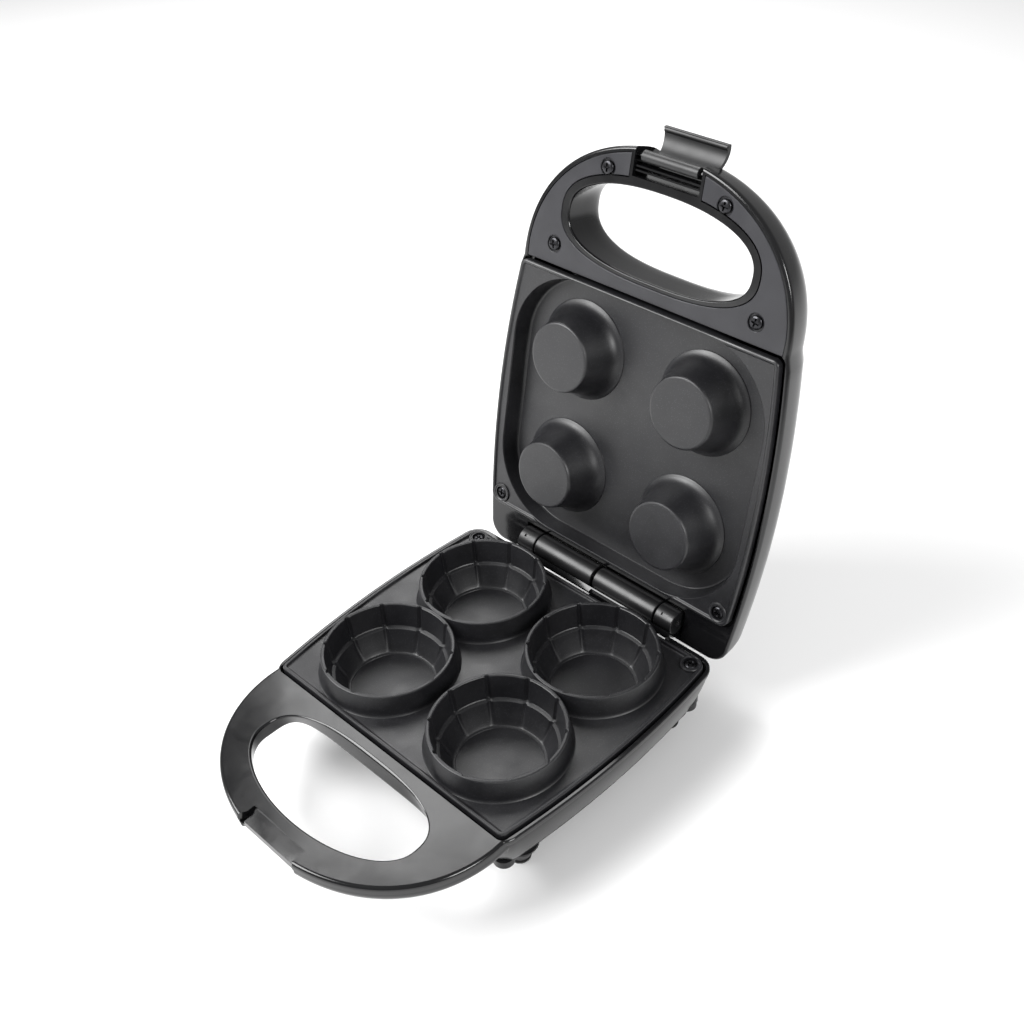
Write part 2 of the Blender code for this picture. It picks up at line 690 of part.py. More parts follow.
def lid_housing():
    top = 85 * MM
    shell = loft([(shell_outline(0.0), LID_RIM_Z), (shell_outline(1.2 * MM), 66 * MM),
                  (shell_outline(4.2 * MM), 76 * MM), (shell_outline(8.5 * MM), 82 * MM),
                  (shell_outline(14.5 * MM), top)])
    dome = loft([(tub_outline(13 * MM), 82 * MM), (tub_outline(17 * MM), 88.5 * MM),
                 (tub_outline(24 * MM), 91.6 * MM), (tub_outline(34 * MM), LID_CROWN_Z)])
    join(shell, dome)
    cut(shell, lid_room(), prism(seat_outline(), LID_RIM_Z - 2 * MM, LID_RIM_Z + 4 * MM))
    cut(shell, handle_room())
    cut(shell, loft([(lid_grip(), LID_RIM_Z - 2 * MM), (lid_grip(), LID_RIM_Z + 16 * MM),
                     (lid_grip(1.2 * MM), 80 * MM), (lid_grip(4.0 * MM), top + 1 * MM)]))
    carve_latch_notch(shell)
    carve_hinge_notch(shell)
    add_lid_posts(shell)
    for side in (-1, 1):
        cut(shell, peg(LAMP_RADIUS + GAP, side * LAMP_X, LAMP_Y, LID_CROWN_Z - 10 * MM, LID_CROWN_Z + 4 * MM))
    return finish("lid_housing", shell)


def lid_room():
    """The hollow above the upper mould plate."""
    room = loft([(tub_outline(3.4 * MM), LID_RIM_Z + 3 * MM), (tub_outline(6.6 * MM), 76 * MM),
                 (tub_outline(13 * MM), 82 * MM)])
    crown = loft([(tub_outline(15.5 * MM), 81 * MM), (tub_outline(20 * MM), 86.5 * MM),
                  (tub_outline(30 * MM), LID_CROWN_Z - WALL)])
    tail = loft([(tail_outline(0.0), 63.5 * MM), (tail_outline(1.5 * MM), 74 * MM),
                 (tail_outline(5 * MM), 79 * MM)])
    return join(room, crown, tail)


def tail_outline(inset):
    """The hollow over the hinge, behind the upper mould plate."""
    return bowed_quad(60 * MM + inset, LID_BACK - 4.2 * MM - inset, 4.2 * MM + inset, 9 * MM, 9 * MM)


def handle_room():
    """The hollow inside the lid's handle, round the finger opening."""
    wide = handle_outline(2.8 * MM, PANEL_BACK_Y)
    middle = handle_outline(6.5 * MM, PANEL_BACK_Y - 1.0 * MM)
    narrow = handle_outline(10.5 * MM, PANEL_BACK_Y - 1.5 * MM)
    room = loft([(wide, LID_RIM_Z - 1 * MM), (wide, 64 * MM), (middle, 74 * MM), (narrow, 80 * MM)])
    keep = prism(lid_grip(2.4 * MM), LID_RIM_Z - 3 * MM, LID_RIM_Z + 40 * MM)
    cut(room, keep)
    for x, y in ((side * px, py) for side in (-1, 1) for px, py in PANEL_SCREWS):
        cut(room, peg(4.6 * MM, x, y, LID_RIM_Z + PANEL_THICK + GAP, LID_RIM_Z + 40 * MM))
    solid_nose = block((-NOTCH_HALF_WIDTH - 1.8 * MM, -170 * MM, LID_RIM_Z - 3 * MM),
                       (NOTCH_HALF_WIDTH + 1.8 * MM, -144 * MM, LID_RIM_Z + 40 * MM))
    return cut(room, solid_nose)


def carve_latch_notch(shell):
    """Room for the latch in the nose of the lid's handle."""
    front = HANDLE_ROOT_Y - HANDLE_REACH - 3 * MM
    back = LATCH_Y + 5.6 * MM
    opening = block((-NOTCH_HALF_WIDTH, front, LID_RIM_Z - 2 * MM), (NOTCH_HALF_WIDTH, back, LID_CROWN_Z))
    trough = block((-NOTCH_HALF_WIDTH, back - 1 * MM, LID_RIM_Z - 2 * MM),
                   (NOTCH_HALF_WIDTH, -149.4 * MM, LID_RIM_Z + 7 * MM))
    cut(shell, opening, trough)
    rib = block((-NOTCH_HALF_WIDTH - 0.5 * MM, -153.4 * MM, LID_RIM_Z + 1.2 * MM),
                (NOTCH_HALF_WIDTH + 0.5 * MM, -151.8 * MM, LID_RIM_Z + 8 * MM))
    join(shell, rib)
    reach = NOTCH_HALF_WIDTH + 3.4 * MM
    cut(shell, rod(LATCH_PIN_RADIUS + PIN_PLAY, (-reach, LATCH_Y, LATCH_Z), (reach, LATCH_Y, LATCH_Z), 16))
    for side in (-1, 1):
        for px, py in PANEL_SCREWS:
            cut(shell, peg(SHANK_HOLE, side * px, py, LID_RIM_Z, LID_RIM_Z + 12 * MM))


def carve_hinge_notch(shell):
    """Room for the base's barrels, then the lid's own barrel and knuckle."""
    clear = BARREL_RADIUS + 1.5 * MM
    low = LID_RIM_Z - 3 * MM
    half = HINGE_NOTCH_HALF
    cut(shell, block((-half, HINGE_Y - clear, low), (half, LID_BACK + 3 * MM, HINGE_Z + 4 * MM)),
        rod(clear, (-half, HINGE_Y, HINGE_Z), (half, HINGE_Y, HINGE_Z), 24))
    far = BARREL_GAP + BARREL_LENGTH
    for start, end in ((-far, -BARREL_GAP), (far + BARREL_GAP, far + BARREL_GAP + KNUCKLE_LENGTH)):
        top = HINGE_Z + clear + 1.5 * MM
        web = block((start, HINGE_Y - 3.0 * MM, HINGE_Z), (end, HINGE_Y + 4.0 * MM, top))
        join(shell, web, hinge_part(start, end))
        cut(shell, hinge_bore(start - 1 * MM, end + 1 * MM))


def add_lid_posts(shell):
    for side in (-1, 1):
        for x, y in (LID_PLATE_SCREW, FRONT_POST):
            join(shell, peg(POST_RADIUS, side * x, y, LID_LIP_Z + PLATE_SKIRT + GAP, 79 * MM))
        cut(shell, peg(SHANK_HOLE, side * LID_PLATE_SCREW[0], LID_PLATE_SCREW[1],
                       LID_RIM_Z - 2 * MM, LID_RIM_Z + 10 * MM))


def handle_panel():
    """The flat cover of the lid's handle, a C that stops at the latch."""
    low = LID_RIM_Z
    high = LID_RIM_Z + PANEL_THICK
    outline = handle_outline(3.1 * MM, PANEL_BACK_Y - GAP)
    panel = prism(outline, low, high)
    cut(panel, prism(lid_grip(2.8 * MM), low - 1 * MM, high + 1 * MM),
        block((-NOTCH_HALF_WIDTH - 2.2 * MM, -170 * MM, low - 1 * MM),
              (NOTCH_HALF_WIDTH + 2.2 * MM, -142 * MM, high + 1 * MM)))
    for side in (-1, 1):
        for x, y in PANEL_SCREWS:
            cut(panel, peg(4.9 * MM, side * x, y, low - 1 * MM, low + 1.2 * MM),
                peg(SHANK_HOLE, side * x, y, low - 1 * MM, high + 1 * MM))
    return finish("handle_panel", panel)


def latch():
    """A bowed hook across the handle's nose, on a round hub."""
    half = LATCH_HALF_WIDTH
    middle = (-LATCH_Y - LATCH_BOW_OFFSET, LATCH_Z - LATCH_DROP)
    inner = arc(*middle, LATCH_BOW_RADIUS, 68, -78, 12)
    outer = arc(*middle, LATCH_BOW_RADIUS + LATCH_THICK, 60, -76, 12)
    outline = inner + list(reversed(outer))
    mesh = bmesh.new()
    face = mesh.faces.new([mesh.verts.new((-half, -out, height)) for out, height in outline])
    grown = bmesh.ops.extrude_face_region(mesh, geom=[face])["geom"]
    moved = [part for part in grown if isinstance(part, bmesh.types.BMVert)]
    bmesh.ops.translate(mesh, vec=(half * 2, 0, 0), verts=moved)
    hook = from_bmesh(mesh)
    flare_hook(hook)
    join(hook, rod(LATCH_HUB_RADIUS, (-half, LATCH_Y, LATCH_Z), (half, LATCH_Y, LATCH_Z)))
    cut(hook, rod(LATCH_PIN_RADIUS + PIN_PLAY, (-half - 1 * MM, LATCH_Y, LATCH_Z),
                  (half + 1 * MM, LATCH_Y, LATCH_Z), 16))
    return finish("latch", hook)


def flare_hook(hook):
    """Widen the latch evenly towards its tip."""
    for corner in hook.data.vertices:
        down = max(0.0, LATCH_Z - corner.co.z) / LATCH_LENGTH
        corner.co.x *= 1 + LATCH_FLARE * down


def latch_pin():
    reach = NOTCH_HALF_WIDTH + 3.0 * MM
    ends = (-reach, LATCH_Y, LATCH_Z), (reach, LATCH_Y, LATCH_Z)
    return finish("latch_pin", rod(LATCH_PIN_RADIUS, *ends, 16))


def lamp_lens(name, side):
    profile = [(0.0, -3.0 * MM), (LAMP_RADIUS, -3.0 * MM), (LAMP_RADIUS, 0.4 * MM),
               (LAMP_RADIUS * 0.8, 1.1 * MM), (LAMP_RADIUS * 0.4, 1.5 * MM), (0.0, 1.6 * MM)]
    return finish(name, turned(profile, side * LAMP_X, LAMP_Y, LID_CROWN_Z, steps=16))


def pivot(name, y, z):
    """An empty on a joint's axis."""
    empty = bpy.data.objects.new(name, None)
    bpy.context.scene.collection.objects.link(empty)
    empty.location = (0.0, y, z)
    return empty


def hang(solids, empty):
    """Parent solids to an empty where they stand."""
    for solid in solids:
        shift = [-value for value in world_place(empty)]
        for corner in solid.data.vertices:
            corner.co.x += shift[0]
            corner.co.y += shift[1]
            corner.co.z += shift[2]
        solid.parent = empty


def world_place(empty):
    place = empty.location.copy()
    if empty.parent:
        place += empty.parent.location
    return place


def material(name, color, roughness, metallic=0.0):
    finish_coat = bpy.data.materials.new(name)
    finish_coat.use_nodes = True
    shader = finish_coat.node_tree.nodes["Principled BSDF"]
    shader.inputs["Base Color"].default_value = (*color, 1.0)
    shader.inputs["Roughness"].default_value = roughness
    shader.inputs["Metallic"].default_value = metallic
    finish_coat.diffuse_color = (*color, 1.0)
    return finish_coat


def paint(solids, coat):
    for solid in solids:
        solid.data.materials.clear()
        solid.data.materials.append(coat)


def build_base():
    pieces = {"gloss": [base_housing(), base_cover()], "mould": [lower_plate()]}
    pads = [finish(f"foot_pad_{row}_{side}", foot_pad(x * FOOT_X, y))
            for row, y in (("front", FOOT_FRONT_Y), ("back", FOOT_BACK_Y))
            for side, x in (("left", -1), ("right", 1))]
    plate_screws = [finish(f"lower_plate_screw_{side}",
                           phillips_screw(x * PLATE_SCREW[0], PLATE_SCREW[1], LIP_Z - 3.0 * MM + GAP, 1))
                    for side, x in (("left", -1), ("right", 1))]
    cover_screws = []
    for row, (px, py) in (("back", PLATE_SCREW), ("front", FRONT_POST)):
        for side, x in (("left", -1), ("right", 1)):
            screw = phillips_screw(x * px, py, COVER_Z + 5.0 * MM - GAP, -1, 3.2 * MM, 11 * MM)
            cover_screws.append(finish(f"cover_screw_{row}_{side}", screw))
    pieces["rubber"] = pads + [cord_bush()]
    pieces["screw"] = plate_screws
    pieces["steel"] = cover_screws + [hinge_pin()]
    pieces["element"] = [heating_element("lower_element", 25.7 * MM)]
    pieces["reflector"] = [reflector("lower_reflector", 20.6 * MM, 22.4 * MM)]
    under_plate = LIP_Z - LIP_HEIGHT - PLATE_THICK - GAP
    pieces["ceramic"] = [terminal_block(), thermostat("lower_thermostat", under_plate, -1)]
    return pieces


def build_lid(lid_axis):
    low_seat = LID_LIP_Z + 2.8 * MM - GAP
    pieces = {"gloss": [lid_housing()], "panel": [handle_panel()], "mould": [upper_plate()]}
    pieces["screw"] = [finish(f"upper_plate_screw_{side}",
                              phillips_screw(x * LID_PLATE_SCREW[0], LID_PLATE_SCREW[1], low_seat, -1))
                       for side, x in (("left", -1), ("right", 1))]
    for row, (px, py) in (("front", PANEL_SCREWS[0]), ("back", PANEL_SCREWS[1])):
        for side, x in (("left", -1), ("right", 1)):
            screw = phillips_screw(x * px, py, LID_RIM_Z + 1.2 * MM - GAP, -1, 3.9 * MM)
            pieces["screw"].append(finish(f"panel_screw_{row}_{side}", screw))
    pieces["steel"] = [latch_pin()]
    pieces["element"] = [heating_element("upper_element", PAN_Z + UPPER_PLATE_THICK + 3.6 * MM)]
    pieces["reflector"] = [reflector("upper_reflector", 74.4 * MM, 72.6 * MM)]
    pieces["ceramic"] = [thermostat("upper_thermostat", PAN_Z + UPPER_PLATE_THICK + GAP, 1)]
    pieces["red"] = [lamp_lens("lamp_red", -1)]
    pieces["green"] = [lamp_lens("lamp_green", 1)]
    for solids in pieces.values():
        hang(solids, lid_axis)
    return pieces


COATS = {
    "gloss": ((0.012, 0.012, 0.013), 0.12, 0.0),
    "mould": ((0.045, 0.045, 0.048), 0.55, 0.0),
    "panel": ((0.030, 0.031, 0.033), 0.42, 0.0),
    "latch": ((0.014, 0.014, 0.015), 0.30, 0.0),
    "rubber": ((0.020, 0.020, 0.020), 0.80, 0.0),
    "screw": ((0.020, 0.020, 0.021), 0.40, 0.6),
    "steel": ((0.55, 0.55, 0.56), 0.30, 1.0),
    "element": ((0.30, 0.29, 0.28), 0.45, 1.0),
    "reflector": ((0.62, 0.62, 0.63), 0.28, 1.0),
    "ceramic": ((0.72, 0.70, 0.66), 0.55, 0.0),
    "red": ((0.60, 0.02, 0.02), 0.15, 0.0),
    "green": ((0.02, 0.45, 0.08), 0.15, 0.0),
}


def paint_each(pieces):
    for kind, solids in pieces.items():
        for solid in solids:
            paint([solid], material(f"{solid.name}_coat", *COATS[kind]))


def main():
    clear_scene()
    base = build_base()
    lid_axis = pivot("lid_hinge_axis", HINGE_Y, HINGE_Z)
    latch_axis = pivot("latch_axis", LATCH_Y - HINGE_Y, LATCH_Z - HINGE_Z)
    latch_axis.parent = lid_axis
    lid = build_lid(lid_axis)
    hook = latch()
    hang([hook], latch_axis)
    for pieces in (base, lid, {"latch": [hook]}):
        paint_each(pieces)
    lid_axis.rotation_euler.x = -LID_OPEN_ANGLE
    latch_axis.rotation_euler.x = -LATCH_FLIP_ANGLE
    for item in bpy.data.objects:
        if item.parent is None:
            item.location.y += ORIGIN_Y


main()
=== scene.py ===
"""Looks of the four-cup mini pie maker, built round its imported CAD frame.

Lengths are in metres. Every piece is modelled shut and standing, in one plan whose zero is above the
base's middle. Lid pieces are then swung open about the hinge, and the latch about its own pin as well.
"""
import json
import math

import bmesh
import bpy
from mathutils import Matrix, Vector


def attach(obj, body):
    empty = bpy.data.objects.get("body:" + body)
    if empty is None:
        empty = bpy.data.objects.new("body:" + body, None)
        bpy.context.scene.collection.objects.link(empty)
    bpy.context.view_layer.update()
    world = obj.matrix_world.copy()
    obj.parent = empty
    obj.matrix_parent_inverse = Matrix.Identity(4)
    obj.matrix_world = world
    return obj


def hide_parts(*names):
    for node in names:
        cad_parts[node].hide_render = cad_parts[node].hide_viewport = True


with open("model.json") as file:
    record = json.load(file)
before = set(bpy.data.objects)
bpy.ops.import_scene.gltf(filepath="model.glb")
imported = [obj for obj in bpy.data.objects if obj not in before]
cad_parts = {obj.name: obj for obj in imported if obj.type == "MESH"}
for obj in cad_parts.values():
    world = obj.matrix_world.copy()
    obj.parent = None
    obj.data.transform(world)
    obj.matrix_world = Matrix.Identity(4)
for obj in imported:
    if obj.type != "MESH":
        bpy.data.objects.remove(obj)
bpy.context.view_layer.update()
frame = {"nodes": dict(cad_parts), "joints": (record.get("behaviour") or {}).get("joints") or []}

MM = 0.001
GAP = 0.3 * MM

# The joints' axes, and the angles that the shut pieces are swung by.
JOINTS = {joint["name"]: joint for joint in frame["joints"]}
HINGE = Vector(JOINTS["lid_hinge"]["pos_m"])
ORIGIN_Y = HINGE.y - 95.2 * MM
HINGE_Y = 95.2 * MM
HINGE_Z = HINGE.z
LID_OPEN = math.radians(102.1)
LATCH_Y = -160.5 * MM
LATCH_Z = 58.3 * MM
LATCH_FLIP = math.radians(145.0)

# Heights of the base.
COVER_Z = 12.0 * MM
SEAM_Z = 20.0 * MM
HANDLE_LOW_Z = 37.0 * MM
DECK_Z = 48.0 * MM
LIP_Z = 50.0 * MM
FIELD_Z = 48.1 * MM
FLOOR_Z = 31.6 * MM

# Heights of the shut lid.
LID_LIP_Z = 50.5 * MM
LID_RIM_Z = 54.5 * MM
PAN_Z = 62.5 * MM
LID_TOP_Z = 84.9 * MM
LID_CROWN_Z = 92.5 * MM

# Plan of the body.
SIDE_HALF_WIDTH = 101.65 * MM
SIDE_BOW = 0.82
SIDE_BOW_Y = 12.0 * MM
TUB_FRONT = -88.5 * MM
TUB_BACK = 86.5 * MM
LID_BACK = 109.0 * MM
TUB_CORNER = 12.0 * MM
WALL = 2.6 * MM
TAPER = 7.0 * MM

# Mould plates, cups and cones.
PLATE_FRONT = -83.5 * MM
PLATE_BACK = 81.5 * MM
PLATE_INSET = 3.9 * MM
PLATE_SKIRT = 5.0 * MM
CUP_X = 44.4 * MM
CUP_Y = 38.9 * MM
GROOVES = 10
GROOVE_PHASE = math.radians(-0.5)
PAN_HALF_WIDTH = 90.5 * MM
PAN_HALF_DEPTH = 81.2 * MM
PAN_MIDDLE_Y = -1.0 * MM
PAN_CORNER = 46.0 * MM
CONE_TOP_Z = 39.5 * MM
PLATE_SCREW = (86.4 * MM, 76.0 * MM)
LID_PLATE_SCREW = (86.4 * MM, 74.0 * MM)

# Handles, latch and hinge.
HANDLE_ROOT_Y = -84.5 * MM
HANDLE_HALF_WIDTH = 93.0 * MM
HANDLE_REACH = 82.2 * MM
HANDLE_FRONT = HANDLE_ROOT_Y - HANDLE_REACH
PANEL_BACK_Y = -84.8 * MM
PANEL_THICK = 2.4 * MM
PANEL_SCREWS = [(39.0 * MM, -149.6 * MM), (70.2 * MM, -97.3 * MM)]
NOTCH_HALF_WIDTH = 22.2 * MM
BARREL_RADIUS = 7.6 * MM
BARREL_LENGTH = 47.0 * MM
KNUCKLE_LENGTH = 13.0 * MM
BARREL_GAP = 1.0 * MM
HINGE_NOTCH_HALF = 64.0 * MM
PIN_RADIUS = 2.1 * MM
LAMP_X = 12.0 * MM
LAMP_Y = -58.0 * MM
FOOT_X = 78.0 * MM
FOOT_YS = (-60.0 * MM, 68.0 * MM)
FRONT_POST = (82.5 * MM, -76.0 * MM)
LOWER_SEAT_Z = LIP_Z - 3.0 * MM
UPPER_SEAT_Z = LID_LIP_Z + 2.8 * MM
SHANK_HOLE = 1.8 * MM
THREAD_HOLE = 1.6 * MM
BUSH_PLACE = (-62.0 * MM, 70.0 * MM, 30.0 * MM)
BUSH_HOLE_RADIUS = 5.4 * MM
CATCH_DEPTH = 11.7 * MM
LATCH_ROD_BORE = 1.3 * MM


# ---------------------------------------------------------------- solids

def from_bmesh(mesh, name="solid"):
    bmesh.ops.recalc_face_normals(mesh, faces=mesh.faces)
    data = bpy.data.meshes.new(name)
    mesh.to_mesh(data)
    mesh.free()
    solid = bpy.data.objects.new(name, data)
    bpy.context.scene.collection.objects.link(solid)
    return solid


def baked(solid):
    """Replace a solid's mesh by the result of its modifiers."""
    graph = bpy.context.evaluated_depsgraph_get()
    data = bpy.data.meshes.new_from_object(solid.evaluated_get(graph))
    solid.modifiers.clear()
    solid.data = data
    return solid


def combine(target, tool, operation):
    step = target.modifiers.new("combine", "BOOLEAN")
    step.operation = operation
    step.solver = "EXACT"
    step.object = tool
    baked(target)
    bpy.data.objects.remove(tool)
    return target


def join(target, *tools):
    for tool in tools:
        combine(target, tool, "UNION")
    return target


def cut(target, *tools):
    for tool in tools:
        combine(target, tool, "DIFFERENCE")
    return target


def skin(rings):
    """A capped solid through rings of points that share one number of points."""
    mesh = bmesh.new()
    rows = [[mesh.verts.new(point) for point in ring] for ring in rings]
    count = len(rows[0])
    for low, high in zip(rows, rows[1:]):
        for i in range(count):
            j = (i + 1) % count
            mesh.faces.new((low[i], low[j], high[j], high[i]))
    mesh.faces.new(list(reversed(rows[0])))
    mesh.faces.new(rows[-1])
    return from_bmesh(mesh)


def loft(plan, steps):
    """A solid whose outline is plan(inset) at each (inset, height) step."""
    return skin([[(x, y, height) for x, y in plan(inset)] for inset, height in steps])


def prism(outline, low, high):
    return skin([[(x, y, z) for x, y in outline] for z in (low, high)])


def spun(profile, x=0.0, y=0.0, z=0.0, steps=96):
    """A solid of revolution; the profile's first and last points lie on the axis."""
    mesh = bmesh.new()
    turns = [math.tau * i / steps for i in range(steps)]
    rows = []
    for radius, height in profile:
        if radius == 0.0:
            rows.append([mesh.verts.new((x, y, z + height))])
        else:
            rows.append([mesh.verts.new((x + radius * math.cos(a), y + radius * math.sin(a), z + height))
                         for a in turns])
    for low, high in zip(rows, rows[1:]):
        for i in range(steps):
            j = (i + 1) % steps
            corners = [low[i % len(low)], low[j % len(low)], high[j % len(high)], high[i % len(high)]]
            mesh.faces.new(list(dict.fromkeys(corners)))
    return from_bmesh(mesh)


def smooth_line(points, steps=6):
    """Catmull-Rom curve through (radius, height) points."""
    ends = [points[0]] + list(points) + [points[-1]]
    line = []
    for a, b, c, d in zip(ends, ends[1:], ends[2:], ends[3:]):
        for i in range(steps):
            t = i / steps
            line.append(tuple(0.5 * (2 * q + (r - p) * t + (2 * p - 5 * q + 4 * r - s) * t * t
                                     + (3 * q - p - 3 * r + s) * t ** 3) for p, q, r, s in zip(a, b, c, d)))
    return line + [points[-1]]


def block(low, high):
    outline = [(low[0], low[1]), (high[0], low[1]), (high[0], high[1]), (low[0], high[1])]
    return prism(outline, low[2], high[2])


def peg(radius, x, y, low, high, steps=40):
    return spun([(0.0, low), (radius, low), (radius, high), (0.0, high)], x, y, steps=steps)


def rod_x(radius, start, end, y, z, round_end=0.0, steps=48):
    """A rod along X with slightly rounded ends."""
    profile = [(0.0, start), (radius - round_end, start), (radius - round_end * 0.3, start + round_end * 0.3),
               (radius, start + round_end), (radius, end - round_end),
               (radius - round_end * 0.3, end - round_end * 0.3), (radius - round_end, end), (0.0, end)]
    if round_end == 0.0:
        profile = [(0.0, start), (radius, start), (radius, end), (0.0, end)]
    solid = spun(profile, steps=steps)
    solid.data.transform(Matrix.Translation((0, y, z)) @ Matrix.Rotation(math.pi / 2, 4, "Y"))
    return solid


# ---------------------------------------------------------------- plans

def arc(x, y, radius, start, end, steps):
    angles = [math.radians(start + (end - start) * i / steps) for i in range(steps + 1)]
    return [(x + radius * math.cos(a), y + radius * math.sin(a)) for a in angles]


def mirrored(points):
    return [(-x, y) for x, y in reversed(points)]


def half_width(y, inset):
    return SIDE_HALF_WIDTH - inset - SIDE_BOW * (y - SIDE_BOW_Y) ** 2


def side_line(start, end, inset, steps):
    stations = [start + (end - start) * i / steps for i in range(1, steps)]
    return [(half_width(y, inset), y) for y in stations]


def bowed_quad(front, back, inset, front_radius, back_radius, corner_steps=10, side_steps=16):
    low = front + front_radius
    high = back - back_radius
    right = arc(half_width(low, inset) - front_radius, low, front_radius, -90, 0, corner_steps)
    right += side_line(low, high, inset, side_steps)
    right += arc(half_width(high, inset) - back_radius, high, back_radius, 0, 90, corner_steps)
    return right + mirrored(right)


def tub_plan(inset):
    return bowed_quad(TUB_FRONT + inset, TUB_BACK - inset, inset, TUB_CORNER, TUB_CORNER)


def plate_plan(inset):
    front_radius = max(4.0 * MM - inset, 1.2 * MM)
    back_radius = max(7.0 * MM - inset, 2.0 * MM)
    return bowed_quad(PLATE_FRONT + inset, PLATE_BACK - inset, PLATE_INSET + inset, front_radius, back_radius)


def seat_plan(inset):
    clearance = 1.3 * MM - inset
    return bowed_quad(PLATE_FRONT - clearance, PLATE_BACK + clearance, PLATE_INSET - clearance,
                      4.5 * MM, 7.5 * MM)


def bow_arc(middle_y, half_x, reach, power, steps):
    points = []
    for i in range(steps + 1):
        angle = math.pi * i / steps
        across = math.copysign(abs(math.cos(angle)) ** (2 / power), math.cos(angle))
        along = abs(math.sin(angle)) ** (2 / power)
        points.append((half_x * across, middle_y + reach * along))
    return points


def grip_plan(middle_y, half_x, back, front, front_power, grow, back_power=2.6, steps=44):
    rear = bow_arc(middle_y, half_x + grow, back + grow, back_power, steps)
    nose = bow_arc(middle_y, half_x + grow, -(front + grow), front_power, steps)
    return rear + list(reversed(nose))[1:-1]


def base_grip(grow, squareness=0.0):
    """The base handle's finger opening; squareness 1 gives its low edge, straight along the tub."""
    back = (25.8 - 2.6 * squareness) * MM
    return grip_plan(-118.0 * MM, 61.8 * MM, back, 29.8 * MM, 2.0, grow, 2.6 + 2.8 * squareness)


def lid_grip(grow):
    return grip_plan(-119.5 * MM, 62.4 * MM, 23.7 * MM, 25.0 * MM, 2.3, grow)


def panel_hole(grow):
    """The handle panel's hole, which leaves a glossy rim round the finger opening."""
    return grip_plan(-119.5 * MM, 65.0 * MM, 23.7 * MM, 27.3 * MM, 2.3, grow)


def handle_nose(inset, steps=88):
    nose = bow_arc(HANDLE_ROOT_Y, HANDLE_HALF_WIDTH - inset, -(HANDLE_REACH - inset), 2.15, steps)
    return list(reversed(nose))


def handle_plan(inset, root_y=-80.0 * MM, drop=2):
    """A handle's plan, closed by a straight line across its root."""
    nose = handle_nose(inset)[drop:-drop]
    return nose + [(nose[-1][0], root_y), (nose[0][0], root_y)]


def shell_plan(inset):
    high = LID_BACK - inset - TUB_CORNER
    right = side_line(HANDLE_ROOT_Y, high, inset, 30)
    right += arc(half_width(high, inset) - TUB_CORNER, high, TUB_CORNER, 0, 90, 12)
    return handle_nose(inset) + right + mirrored(right)


def tail_plan(inset):
    return bowed_quad(60 * MM + inset, LID_BACK - 4.2 * MM - inset, 4.2 * MM + inset, 9 * MM, 9 * MM, 6, 6)


def pan_plan(side_inset, end_inset):
    corner = PAN_CORNER - side_inset / 2
    half_x = PAN_HALF_WIDTH - side_inset - corner
    half_y = PAN_HALF_DEPTH - end_inset - corner
    right = arc(half_x, PAN_MIDDLE_Y - half_y, corner, -90, 0, 24)
    right += arc(half_x, PAN_MIDDLE_Y + half_y, corner, 0, 90, 24)
    return right + mirrored(right)


def pan_loft(steps):
    """A solid through pan outlines, from (side inset, end inset, height) steps in millimetres."""
    return skin([[(x, y, height * MM) for x, y in pan_plan(side * MM, end * MM)]
                 for side, end, height in steps])


def four_cups():
    return [(sx * CUP_X, sy * CUP_Y) for sy in (-1, 1) for sx in (-1, 1)]


# ---------------------------------------------------------------- placing

PLACE_BASE = Matrix.Translation((0, ORIGIN_Y, 0))
AT_HINGE = Matrix.Translation((0, HINGE_Y, HINGE_Z))
AT_LATCH = Matrix.Translation((0, LATCH_Y, LATCH_Z))
PLACE_LID = PLACE_BASE @ AT_HINGE @ Matrix.Rotation(-LID_OPEN, 4, "X") @ AT_HINGE.inverted()
PLACE_LATCH = PLACE_LID @ AT_LATCH @ Matrix.Rotation(-LATCH_FLIP, 4, "X") @ AT_LATCH.inverted()
PLACES = {"base": PLACE_BASE, "lid": PLACE_LID, "latch": PLACE_LATCH}


def place(solid, node, body, coat, smooth_angle=32.0):
    """Swing a finished solid to its rest place, coat it, and let it stand for its CAD node."""
    solid.name = f"{node}_finished"
    solid.data.name = solid.name
    solid.data.transform(PLACES[body])
    for polygon in solid.data.polygons:
        polygon.use_smooth = True
    solid.data.set_sharp_from_angle(angle=math.radians(smooth_angle))
    weights = solid.modifiers.new("weighted_normals", "WEIGHTED_NORMAL")
    weights.keep_sharp = True
    weights.weight = 80
    solid.data.materials.clear()
    solid.data.materials.append(coat)
    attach(solid, body)
    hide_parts(node)
    return solid


# ---------------------------------------------------------------- materials

def new_coat(name, color, roughness, metallic=0.0, specular=0.5, coat=0.0, coat_roughness=0.05):
    material = bpy.data.materials.new(name)
    material.use_nodes = True
    shader = material.node_tree.nodes["Principled BSDF"]
    shader.inputs["Base Color"].default_value = (*color, 1.0)
    shader.inputs["Roughness"].default_value = roughness
    shader.inputs["Metallic"].default_value = metallic
    shader.inputs["Specular IOR Level"].default_value = specular
    shader.inputs["Coat Weight"].default_value = coat
    shader.inputs["Coat Roughness"].default_value = coat_roughness
    material.diffuse_color = (*color, 1.0)
    return material


def add_node(material, kind, **values):
    node = material.node_tree.nodes.new(kind)
    for key, value in values.items():
        if key in node.inputs:
            node.inputs[key].default_value = value
        else:
            setattr(node, key, value)
    return node


def wire(material, source, target):
    material.node_tree.links.new(source, target)


def noise(material, scale, detail=3.0, roughness=0.5, distortion=0.0):
    """A noise texture in object space; the pieces' objects all sit at the frame's origin."""
    where = add_node(material, "ShaderNodeTexCoord")
    texture = add_node(material, "ShaderNodeTexNoise", Scale=scale, Detail=detail, Roughness=roughness,
                       Distortion=distortion)
    wire(material, where.outputs["Object"], texture.inputs["Vector"])
    return texture.outputs["Fac"]


